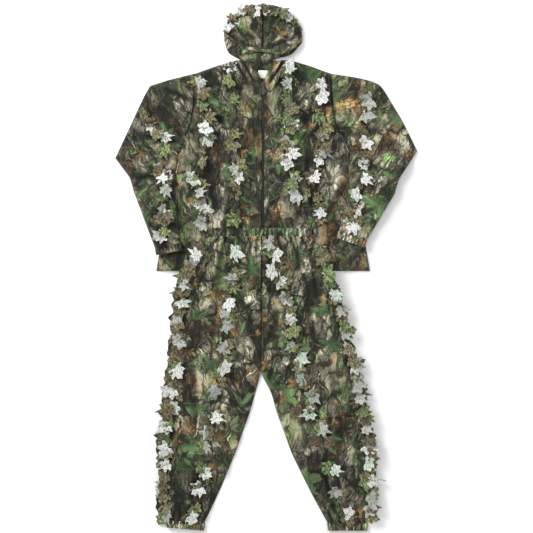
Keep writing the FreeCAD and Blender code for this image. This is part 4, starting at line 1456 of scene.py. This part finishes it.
@dataclass
class Sleeve:
    """A sleeve folded down along the jacket's side: upper sleeve, forearm and cuff."""

    side: str
    corner: Point
    elbow_out: Point
    elbow_in: Point
    bend_out: Point
    bend_in: Point
    cuff_out: Point
    cuff_in: Point
    overlap: float = 0.028

    def support(self, x: float, y: float) -> float:
        """Give the height that the forearm lies on: the ground, then the jacket's side."""
        return HEM_HEIGHT * smooth((self.elbow_in[1] - 0.002 - y) / 0.066)

    def edges(self) -> tuple[tuple[Point, ...], tuple[Point, ...]]:
        """List the outer and inner edges of the upper sleeve."""
        outer = ((0.2405, 0.691), (self.corner[0] * 0.84, self.corner[1] + 0.02), self.corner,
                 (self.corner[0] + 0.022, self.corner[1] - 0.04),
                 (self.elbow_out[0] * 0.905, self.elbow_out[1] + 0.105), self.elbow_out)
        inner = ((0.26, 0.501), (self.elbow_in[0] - 0.02, self.elbow_in[1] + 0.045), self.elbow_in)
        return outer, inner

    def lay_out(self) -> list[Panel]:
        """Place the cloth of the sleeve, back and front, above and below the elbow."""
        side, sign = self.side, SIGNS[self.side]
        outer, inner = (mirrored(points, side) for points in self.edges())
        armhole = mirrored(((0.2405, 0.691), (0.245, 0.58), (0.26, 0.501)), side)
        end = mirrored((self.elbow_out, self.elbow_in), side)
        upper = sided_patch(side, armhole, end, Edge(outer), Edge(inner))
        lower_outer = mirrored((self.elbow_out, (self.bend_out[0] * 1.03, self.bend_out[1] + 0.05),
                                self.bend_out, self.cuff_out), side)
        lower_inner = mirrored((self.elbow_in, self.bend_in, self.cuff_in), side)
        lower = sided_patch(side, end, mirrored((self.cuff_out, self.cuff_in), side), Edge(lower_outer),
                            Edge(lower_inner))
        shoulder_bend = ("jacket", f"upper_sleeve_{side}", Vector((sign * 0.2625, 0.6, 0.0)),
                         Vector((sign * 0.29, 0.6, 0.0)))
        fold = self.elbow_in[1]
        elbow_bend = bend_across(f"upper_sleeve_{side}", f"forearm_{side}", fold + 0.002, fold - 0.022)
        (ex, ey), ix = self.elbow_out, self.elbow_in[0]
        upper_folds = drawn_folds(sign, (
            (ix, ey + 0.03, ex * 0.86, ey + 0.05, 0.008, 0.012),
            (ix, ey + 0.055, ex * 0.8, ey + 0.08, -0.006, 0.01),
            (ix * 1.02, ey + 0.075, ex * 0.78, ey + 0.13, 0.007, 0.013),
            (0.262, 0.56, 0.36, 0.6, 0.007, 0.014),
            (0.256, 0.6, 0.35, 0.64, -0.005, 0.012)))
        lower_folds = drawn_folds(sign, (
            (ix, ey - 0.02, ex * 0.9, ey - 0.03, 0.008, 0.011),
            (ix, ey - 0.045, ex * 0.88, ey - 0.07, -0.006, 0.01),
            (ix * 1.03, ey - 0.08, ex * 0.82, ey - 0.12, 0.007, 0.012),
            (ix * 1.05, ey - 0.19, ix * 1.42, ey - 0.13, 0.006, 0.012),
            (ix * 1.02, ey - 0.24, ix * 1.32, ey - 0.2, -0.005, 0.01)))
        turn, shift, tone = 0.42 * sign, (6.6 + sign, 2.5), -0.34 if side == "left" else 0.04
        arm, low_arm, low_body = f"upper_sleeve_{side}", f"forearm_sleeve_{side}", f"forearm_{side}"
        return [
            backing(
                arm + "_back", arm, upper, turn=turn, shift=(8.2, 1.1), spacing=0.016,
                bend=shoulder_bend),
            node_panel(
                arm + "_front", arm, upper, closed=BOTH_SIDES, folds=upper_folds, turn=turn, shift=shift,
                tone=tone, bend=shoulder_bend, rests_on=(arm + "_back",)),
            backing(
                low_arm + "_back", low_body, lower, turn=turn, shift=(9.5, 0.2), spacing=0.012,
                support=self.support, bend=elbow_bend),
            node_panel(
                low_arm + "_front", low_body, lower, closed=BOTH_SIDES, folds=lower_folds,
                gathers=(Gather(Side.BOTTOM, 0.26, 6.0, 0.003),), turn=turn, shift=shift, tone=tone,
                support=self.support, bend=elbow_bend,
                rests_on=(low_arm + "_back", "jacket_front_" + side)),
        ]

    def cuff(self) -> tuple[GatheredBand, GatheredBand]:
        """Describe the gathered cuff and the elastic in it."""
        ends = mirrored((self.cuff_out, self.cuff_in), self.side)
        if self.side == "right":
            ends = ends[::-1]
        left, right = (Vector(end) for end in ends)
        down = Vector(((right - left).y, -(right - left).x)).normalized() * 0.012
        left, right = left + down, right + down
        inset = (right - left).normalized() * 0.0035
        return band_pair(
            f"cuff_{self.side}", f"forearm_{self.side}", tuple(left), tuple(right), inset,
            (0.026, HEM_HEIGHT + 0.001, 0.0145, 0.0012), (0.016, HEM_HEIGHT + 0.0035, 0.009, 0.0006),
            9)


@dataclass
class TrouserLeg:
    """One half of the trousers: hip and thigh, lower leg, ankle and its share of the waist."""

    side: str
    waist_out: float
    seam: tuple[Point, ...]
    knee_out: float
    knee_in: float
    ankle_out: float
    ankle_in: float
    crotch: Point = (0.0095, -0.367)
    centre: float = -0.006
    waist_low: float = 0.1215
    knee: float = -0.64
    ankle_top: float = -0.882
    ankle_tilt: float = 0.0

    def lay_out(self) -> list[Panel]:
        """Place the cloth of the half, back and front, above and below the knee."""
        side, sign = self.side, SIGNS[self.side]
        middle = sign * self.centre
        knee, ankle_top = self.knee, self.ankle_top
        outer = mirrored(((self.waist_out, self.waist_low), *self.seam, (self.knee_out, knee)), side)
        inner_leg = ((self.knee_in * 0.28, self.crotch[1] - 0.06), (self.knee_in * 0.46, knee + 0.15),
                     (self.knee_in * 0.73, knee + 0.075), (self.knee_in, knee))
        inner = (*((self.centre, y) for y in (self.waist_low, 0.01, -0.1, -0.2, -0.27, -0.32)),
                 (self.centre + sign * 0.006, self.crotch[1] - 0.002), *mirrored(inner_leg, side))
        top = ((sign * self.waist_out, self.waist_low), (self.centre, self.waist_low))
        bottom = mirrored(((self.knee_out, knee), (self.knee_in, knee)), side)
        upper = sided_patch(side, top, bottom, Edge(outer, True), Edge(inner, True))
        shin_out = self.knee_out * 0.45 + self.ankle_out * 0.55 + 0.006
        shin_in = self.knee_in * 0.45 + self.ankle_in * 0.55 - 0.002
        low_out = ((self.knee_out, knee), (shin_out, -0.77), (self.ankle_out, ankle_top))
        low_in = ((self.knee_in, knee), (shin_in, -0.775), (self.ankle_in, ankle_top))
        lower = sided_patch(side, bottom, mirrored((low_out[-1], low_in[-1]), side),
                            Edge(mirrored(low_out, side), True), Edge(mirrored(low_in, side), True))
        knee_bend = bend_across("trousers", f"lower_leg_{side}", knee, knee - 0.024)
        outer_side, inner_side = (Side.LEFT, Side.RIGHT) if side == "left" else (Side.RIGHT, Side.LEFT)
        folds = drawn_folds(sign, (
            (middle, -0.33, 0.19, -0.15, 0.008, 0.016),
            (middle, -0.35, 0.23, -0.29, 0.007, 0.015),
            (middle, -0.3, 0.09, -0.06, -0.007, 0.013),
            (middle, 0.1, middle, -0.34, -0.0045, 0.005),
            (0.06, 0.06, 0.07, -0.22, 0.006, 0.014),
            (0.14, 0.06, 0.175, -0.26, -0.006, 0.013),
            (0.1, -0.42, 0.23, -0.56, 0.006, 0.016),
            (0.25, -0.33, 0.235, -0.56, -0.005, 0.014),
            (0.19, 0.02, 0.24, -0.2, 0.006, 0.014)))
        lower_folds = drawn_folds(sign, (
            (self.knee_in * 1.1, -0.7, self.knee_out * 0.9, -0.67, 0.006, 0.013),
            (0.21, -0.69, 0.25, -0.85, -0.005, 0.012),
            (0.25, -0.7, 0.27, -0.85, 0.006, 0.012)))
        waist = (Gather(Side.TOP, 0.5, 5.5, 0.015), Gather(Side.TOP, 0.17, 14.0, 0.006))
        ankle = (Gather(Side.BOTTOM, 0.55, 5.5, 0.009), Gather(Side.BOTTOM, 0.22, 12.0, 0.0036))
        shift = (1.5, 4.4) if side == "left" else (3.7, 5.2)
        leg, low_leg = f"trousers_{side}", f"lower_leg_{side}"
        return [
            backing(
                leg + "_back", "trousers", upper, 0.0006, turn=0.2, shift=(9.9, 3.0), spacing=0.016,
                support=over_hem),
            node_panel(
                leg + "_front", "trousers", upper, closed=((outer_side, 0.0), (inner_side, 0.64)),
                folds=folds, gathers=waist, turn=0.12 * sign, shift=shift, support=over_hem,
                tone=0.08 if side == "left" else -0.02, rests_on=(leg + "_back",)),
            backing(
                low_leg + "_back", low_leg, lower, turn=0.2, shift=(9.9, 3.0), spacing=0.014,
                bend=knee_bend),
            node_panel(
                low_leg + "_front", low_leg, lower, closed=BOTH_SIDES,
                folds=lower_folds, gathers=ankle, turn=0.12 * sign, shift=shift, bend=knee_bend,
                tone=-0.5 if side == "left" else -0.38, rests_on=(low_leg + "_back",)),
        ]

    def ankle(self) -> tuple[GatheredBand, GatheredBand]:
        """Describe the gathered ankle and the elastic in it."""
        ends = sorted(mirrored(((self.ankle_out, self.ankle_top - 0.012 + self.ankle_tilt),
                                (self.ankle_in, self.ankle_top - 0.012)), self.side))
        return band_pair(
            f"ankle_{self.side}", f"lower_leg_{self.side}", *ends, Vector((0.004, 0.0)),
            (0.026, 0.0012, 0.015, 0.0022), (0.016, 0.004, 0.009, 0.0007), 13)


class Zip:
    """The zip: two tapes, two coils, and the slider and pull that stay as CAD made them."""

    top: float = 0.658
    coil_half: float = 0.0034
    tape_half: float = 0.0128
    height: float = 0.015

    def make(self, finishes: Finishes) -> None:
        """Build the tapes and coils and dress the hard pieces."""
        for side, sign in SIGNS.items():
            self.tape(side, sign, finishes)
            self.coil(side, sign, finishes)
        for node, material in (("zip_slider", finishes.metal), ("zip_pull", finishes.metal),
                               ("zip_pin", finishes.coil), ("zip_box", finishes.coil),
                               ("zip_top_stops", finishes.metal)):
            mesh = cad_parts[node].data
            mesh.materials.clear()
            mesh.materials.append(material)

    def tape(self, side: str, sign: int, finishes: Finishes) -> None:
        """Build one woven tape."""
        bm = new_grid(4, 110)
        for vert in bm.verts:
            across, along = vert.co.x + 0.5, vert.co.y + 0.5
            x = sign * (self.coil_half * 0.6 + across * (self.tape_half - self.coil_half * 0.6))
            y = 0.0005 + along * (self.top + 0.003)
            vert.co = (x, y, self.height + 0.0004 + 0.0003 * rough(x, y, 60.0))
        face_up(bm)
        set_cloth_map(bm, 0.0, (0.2, 0.2))
        area = sum(face.calc_area() for face in bm.faces)
        piece = add_object(f"zip_tape_{side}_cloth", bm, (finishes.tape, finishes.tape))
        thicken(piece, 0.0008, 0, inner=False)
        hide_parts(f"zip_tape_{side}")
        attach(piece, "jacket")

    def coil(self, side: str, sign: int, finishes: Finishes) -> None:
        """Build one coil, as a row of turns that mesh with the other side's."""
        bm = bmesh.new()
        pitch = 0.0042
        count = int((self.top - 0.014) / pitch)
        for index in range(count):
            y = 0.014 + (index + (0.25 if sign > 0 else 0.75)) * pitch
            made = bmesh.ops.create_cube(bm, size=1.0)["verts"]
            for vert in made:
                wide = 0.0021 if vert.co.x * sign < 0 else 0.0032
                vert.co = (sign * 0.0017 + vert.co.x * 0.0036,
                           y + vert.co.y * wide * 0.62, self.height + 0.0018 + vert.co.z * 0.003)
        bmesh.ops.bevel(bm, geom=bm.edges[:], offset=0.0003, segments=1, affect="EDGES", profile=0.5,
                        material=-1)
        piece = add_object(f"zip_coil_{side}_turns", bm, (finishes.coil,), False)
        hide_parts(f"zip_coil_{side}")
        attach(piece, "jacket")


def sew(name: str, body: str, lines: Sequence[Sequence[Point]], surface: BVHTree,
        finishes: Finishes, pitch: float = 0.0058) -> Object:
    """Sew lines of stitches into the cloth.

    Args:
        name: The piece's name.
        body: The body it moves with.
        lines: The lines in plan.
        surface: The cloth they are sewn in.
        finishes: The suit's materials.
        pitch: The length of a stitch and its gap.

    Returns:
        The row of stitches.
    """
    bm = bmesh.new()
    for line in lines:
        edge = Edge(tuple(line))
        length = sum((Vector(b) - Vector(a)).length for a, b in zip(line, line[1:]))
        count = max(int(length / pitch), 2)
        for index in range(count):
            start, end = edge.at(index / count), edge.at((index + 0.66) / count)
            middle = (start + end) / 2
            run = end - start
            made = bmesh.ops.create_cone(bm, cap_ends=True, segments=5, radius1=0.00055, radius2=0.00055,
                                         depth=run.length)["verts"]
            low, high = (drop_on(surface, spot.x, spot.y) for spot in (start, end))
            lean = Vector((run.x, run.y, high - low)).to_track_quat("Z", "Y").to_matrix()
            for vert in made:
                vert.co = lean @ vert.co + Vector((middle.x, middle.y, (low + high) / 2 + 0.0004))
    set_cloth_map(bm, 0.0, (0.0, 0.0))
    piece = add_object(name, bm, (finishes.thread,))
    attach(piece, body)
    return piece


def make_label(finishes: Finishes, surface: BVHTree) -> None:
    """Sew the blank label inside the neck."""
    low, high = (Vector(corner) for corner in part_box("neck_label"))
    bm = new_grid(8, 8)
    for vert in bm.verts:
        x = low.x + (vert.co.x + 0.5) * (high.x - low.x)
        y = low.y + (vert.co.y + 0.5) * (high.y - low.y)
        vert.co = (x, y, drop_on(surface, x, y) + 0.0016 + 0.0012 * abs(rough(x, y, 90.0)))
    set_cloth_map(bm, 0.0, (0.0, 0.0))
    piece = add_object("neck_label_blank", bm, (finishes.label, finishes.label))
    thicken(piece, 0.0006, 1, inner=False)
    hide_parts("neck_label")
    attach(piece, "jacket")


class Suit:
    """The whole suit."""

    def __init__(self) -> None:
        """Describe the garments."""
        self.finishes = Finishes()
        self.jacket = Jacket()
        self.hood = Hood()
        self.sleeves = (
            Sleeve(
                "left", (0.396, 0.648), (0.5175, 0.395), (0.296, 0.395), (0.451, 0.276),
                (0.309, 0.276), (0.377, 0.08), (0.287, 0.098)),
            Sleeve(
                "right", (0.412, 0.654), (0.5395, 0.42), (0.3, 0.42), (0.46, 0.27), (0.299, 0.27),
                (0.362, 0.106), (0.264, 0.139)),
        )
        self.legs = (
            TrouserLeg(
                "left", 0.178, ((0.214, 0.055), (0.236, -0.02), (0.262, -0.12), (0.264, -0.24),
                (0.276, -0.345), (0.297, -0.45), (0.317, -0.59)), 0.321, 0.098, 0.334, 0.206,
                ankle_tilt=0.011),
            TrouserLeg(
                "right", 0.168, ((0.196, 0.07), (0.222, 0.012), (0.262, -0.12), (0.284, -0.23),
                (0.312, -0.367), (0.338, -0.49), (0.357, -0.59)), 0.362, 0.101, 0.364, 0.226),
        )
        self.panels: list[Panel] = []

    def make(self) -> list[Object]:
        """Build every piece and return those that show."""
        self.panels = self.jacket.lay_out() + self.hood.lay_out()
        for part in (*self.sleeves, *self.legs):
            self.panels += part.lay_out()
        for panel in self.panels:
            panel.build(self.finishes)
            LOG.info("cut %s: %.4f m2", panel.name, panel.area)
        crumple([panel for panel in self.panels if panel.crumples])
        surface = cloth_surface([panel for panel in self.panels if panel.lift > 0.001])
        self.make_bands()
        Zip().make(self.finishes)
        facing = [panel for panel in self.panels if panel.name == "neck_facing_cloth"]
        make_label(self.finishes, cloth_surface(facing))
        self.make_seams(surface)
        trimmings = self.make_strips(surface)
        for panel in self.panels:
            panel.finish(trimmings.get(panel.name, ()))
        return list(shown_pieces())

    def make_bands(self) -> None:
        """Build the waistband, cuffs and ankles with their elastics."""
        waist = band_pair(
            "waist", "trousers", (-0.178, 0.135), (0.168, 0.135), Vector((0.004, 0.0)),
            (0.031, HEM_HEIGHT + 0.001, 0.015, 0.0026), (0.022, HEM_HEIGHT + 0.0035, 0.0095, 0.0009),
            24)
        pairs = [waist, *(sleeve.cuff() for sleeve in self.sleeves), *(leg.ankle() for leg in self.legs)]
        for pair in pairs:
            casing, elastic = pair
            casing.make(self.finishes.band if pair is waist else self.finishes.print,
                        self.finishes.reverse)
            elastic.make(self.finishes.webbing, self.finishes.webbing)
            LOG.info("gathered %s", casing.name)

    def make_seams(self, surface: BVHTree) -> None:
        """Sew the topstitching of the jacket, hood and trousers."""
        lines = []
        for side in SIGNS:
            lines += [mirrored(line, side) for line in (
                ((0.0115, 0.655), (0.0115, 0.155)),
                ((0.019, 0.65), (0.019, 0.155)),
                ((0.228, 0.69), (0.236, 0.58), (0.25, 0.505)),
                ((0.02, 0.02), (0.362, 0.02)),
                ((0.098, 0.729), (0.16, 0.709), (0.226, 0.688)))]
        sew("jacket_topstitching", "jacket", lines, surface, self.finishes)
        hood_lines = [((-0.005, 0.92), (-0.005, 0.78)), ((0.005, 0.92), (0.005, 0.78)),
                      tuple((x * 0.97, y + 0.016) for x, y in self.hood.brim)]
        sew("hood_topstitching", "hood", hood_lines, surface, self.finishes)
        centre = self.legs[0].centre
        sew("trousers_topstitching", "trousers", [((centre + 0.004, 0.11), (centre + 0.004, -0.35))],
            surface, self.finishes)

    def make_strips(self, surface: BVHTree) -> dict[str, list[Object]]:
        """Lay every leaf strip and return the strips by the panel that they are sewn to."""
        cutter = LeafCutter(20)
        sewn: dict[str, list[Object]] = {}
        for strip in STRIPS:
            sewn.setdefault(strip.panel, []).extend(strip.make(cutter, surface, self.finishes))
            LOG.info("sewed %s", strip.node)
        return sewn


STRIPS: tuple[LeafStrip, ...] = (
    LeafStrip(
        "hood_leaf_strip", "hood", "hood_panel_left_cloth", ((-0.126, 0.832), (-0.112, 0.872),
        (-0.08, 0.896), (-0.03, 0.912), (0.03, 0.912), (0.08, 0.894), (0.11, 0.864), (0.126, 0.826)),
        (0.05, 0.2, 0.27, 0.4, 0.52, 0.74, 0.8), 0, 0.03, 0.05, 0.024),
    LeafStrip(
        "jacket_leaf_strip_left_outer", "jacket", "jacket_front_left_cloth", ((-0.222, 0.672),
        (-0.214, 0.6), (-0.192, 0.5), (-0.208, 0.4), (-0.228, 0.3), (-0.206, 0.23), (-0.208, 0.16)),
        (0.04, 0.34, 0.4, 0.68, 0.77, 0.84, 0.9, 0.98)),
    LeafStrip(
        "jacket_leaf_strip_left_inner", "jacket", "jacket_front_left_cloth", ((-0.118, 0.716),
        (-0.112, 0.6), (-0.104, 0.5), (-0.092, 0.38), (-0.098, 0.27), (-0.092, 0.168)), (0.0, 0.66,
        0.7), 0, 0.055),
    LeafStrip(
        "jacket_leaf_strip_right_inner", "jacket", "jacket_front_right_cloth", ((0.096, 0.722),
        (0.087, 0.65), (0.092, 0.54), (0.088, 0.43), (0.096, 0.34), (0.128, 0.27), (0.15, 0.262)),
        (0.0, 0.05, 0.14, 0.42, 0.56, 0.63, 0.7, 0.82, 0.94)),
    LeafStrip(
        "jacket_leaf_strip_right_outer", "jacket", "jacket_front_right_cloth", ((0.21, 0.664),
        (0.198, 0.6), (0.212, 0.5), (0.21, 0.41), (0.17, 0.32), (0.204, 0.22), (0.196, 0.165)),
        (0.01, 0.09, 0.37, 0.47, 0.54, 0.66, 0.92)),
    LeafStrip(
        "upper_sleeve_left_leaf_strip", "upper_sleeve_left", "upper_sleeve_left_front_cloth",
        ((-0.418, 0.585), (-0.4, 0.52), (-0.345, 0.462), (-0.352, 0.412)), (0.4, 0.72)),
    LeafStrip(
        "forearm_sleeve_left_leaf_strip", "forearm_left", "forearm_sleeve_left_front_cloth",
        ((-0.36, 0.37), (-0.35, 0.33), (-0.345, 0.285), (-0.344, 0.2), (-0.348, 0.11)), (0.04, 0.14,
        0.18, 0.32, 0.58, 0.66, 0.95)),
    LeafStrip(
        "upper_sleeve_right_leaf_strip", "upper_sleeve_right", "upper_sleeve_right_front_cloth",
        ((0.384, 0.618), (0.354, 0.545), (0.362, 0.48), (0.366, 0.436)), (0.12, 0.42, 0.9)),
    LeafStrip(
        "forearm_sleeve_right_leaf_strip", "forearm_right", "forearm_sleeve_right_front_cloth",
        ((0.366, 0.398), (0.35, 0.33), (0.324, 0.262), (0.318, 0.215), (0.322, 0.155)), (0.12, 0.3,
        0.53, 0.76, 0.98)),
    LeafStrip(
        "trousers_left_front_leaf_strip", "trousers", "trousers_left_front_cloth", ((-0.104, 0.075),
        (-0.098, -0.025), (-0.122, -0.1), (-0.13, -0.18), (-0.132, -0.28), (-0.152, -0.39),
        (-0.172, -0.5), (-0.19, -0.57), (-0.204, -0.625)), (0.01, 0.15, 0.26, 0.33, 0.38, 0.48, 0.58,
        0.69, 0.84, 0.91, 0.98)),
    LeafStrip(
        "trousers_left_outer_leaf_strip", "trousers", "trousers_left_front_cloth", ((-0.205, 0.095),
        (-0.23, 0.03), (-0.272, -0.05), (-0.288, -0.15), (-0.292, -0.26), (-0.303, -0.35),
        (-0.318, -0.46), (-0.33, -0.56), (-0.335, -0.64)), (0.06, 0.12, 0.21, 0.29, 0.38, 0.46, 0.6,
        0.69, 0.78, 0.87, 0.96), -1, 0.03, 0.07, 0.074),
    LeafStrip(
        "lower_leg_left_front_leaf_strip", "lower_leg_left", "lower_leg_left_front_cloth",
        ((-0.206, -0.66), (-0.212, -0.74), (-0.232, -0.81), (-0.258, -0.866)), (0.18, 0.43, 0.95)),
    LeafStrip(
        "lower_leg_left_outer_leaf_strip", "lower_leg_left", "lower_leg_left_front_cloth",
        ((-0.335, -0.649), (-0.339, -0.74), (-0.345, -0.8), (-0.341, -0.868)), (0.12, 0.4, 0.6, 0.9),
        -1, 0.03, 0.066, 0.056),
    LeafStrip(
        "trousers_right_front_leaf_strip", "trousers", "trousers_right_front_cloth", ((0.026, 0.1),
        (0.036, 0.04), (0.05, -0.03), (0.08, -0.075), (0.09, -0.17), (0.104, -0.26), (0.124, -0.31),
        (0.14, -0.4), (0.16, -0.45), (0.18, -0.51), (0.206, -0.57), (0.226, -0.622)), (0.0, 0.06,
        0.12, 0.18, 0.25, 0.38, 0.48, 0.56, 0.64, 0.75, 0.81, 0.9)),
    LeafStrip(
        "trousers_right_outer_leaf_strip", "trousers", "trousers_right_front_cloth", ((0.174, 0.085),
        (0.2, 0.02), (0.228, -0.04), (0.26, -0.14), (0.286, -0.24), (0.312, -0.35), (0.338, -0.46),
        (0.356, -0.56), (0.366, -0.64)), (0.16, 0.25, 0.31, 0.42, 0.5, 0.58, 0.66, 0.74, 0.82, 0.88,
        0.96), 1, 0.03, 0.066, 0.048),
    LeafStrip(
        "lower_leg_right_front_leaf_strip", "lower_leg_right", "lower_leg_right_front_cloth",
        ((0.24, -0.662), (0.252, -0.74), (0.27, -0.8), (0.304, -0.862)), (0.15, 0.48, 0.92)),
    LeafStrip(
        "lower_leg_right_outer_leaf_strip", "lower_leg_right", "lower_leg_right_front_cloth",
        ((0.367, -0.649), (0.37, -0.74), (0.37, -0.8), (0.366, -0.868)), (0.1, 0.35, 0.6, 0.8), 1,
        0.032, 0.066, 0.044),
)


# ---- studio ----

@dataclass(frozen=True)
class Studio:
    """A pale floor, soft light and a camera straight above."""

    centre: tuple[float, float] = (0.012, 0.016)
    span: float = 1.866
    distance: float = 7.0
    sensor: float = 36.0

    def make(self) -> None:
        """Set up the floor, the lights and the camera."""
        scene = bpy.context.scene
        scene.view_settings.view_transform = "Standard"
        self.floor()
        world = bpy.data.worlds.new("soft_room")
        world.use_nodes = True
        background = world.node_tree.nodes["Background"]
        background.inputs[0].default_value = (1.0, 1.0, 1.0, 1.0)
        background.inputs[1].default_value = 0.8
        scene.world = world
        self.lamp("key_light", (-3.0, 2.8, 3.3), 2.6, 270.0)
        self.lamp("fill_light", (2.6, -1.6, 3.8), 3.0, 14.0)
        camera = bpy.data.cameras.new("camera")
        camera.sensor_width = self.sensor
        camera.lens = self.sensor * self.distance / self.span
        camera.clip_end = 50.0
        holder = bpy.data.objects.new("camera", camera)
        holder.location = (*self.centre, self.distance)
        scene.collection.objects.link(holder)
        scene.camera = holder

    def floor(self) -> None:
        """Lay the pale floor."""
        bm = bmesh.new()
        bmesh.ops.create_grid(bm, x_segments=2, y_segments=2, size=12.0)
        g = Graph("pale_floor")
        where = g.object_place()
        shade = g.ramp(g.noise(where, 1.5, 2.0), ((0.3, (0.9, 0.9, 0.9)), (0.7, (0.93, 0.93, 0.93))))
        material = g.finish(shade, 0.9, specular=0.1)
        floor = add_object("studio_floor", bm, (material,), False)
        floor.location.z = -0.0005
        floor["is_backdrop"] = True

    def lamp(self, name: str, place: tuple[float, float, float], size: float, power: float) -> None:
        """Hang a soft square light that faces the suit."""
        light = bpy.data.lights.new(name, "AREA")
        light.size = size
        light.energy = power
        holder = bpy.data.objects.new(name, light)
        holder.location = place
        holder.rotation_euler = (-Vector(place)).to_track_quat("-Z", "Y").to_euler()
        bpy.context.scene.collection.objects.link(holder)


def main() -> None:
    """Build the suit and the studio."""
    logging.basicConfig(level=logging.INFO, format="%(name)s: %(message)s")
    Studio().make()
    Suit().make()
    bpy.context.view_layer.update()


if __name__ == "__main__":
    main()
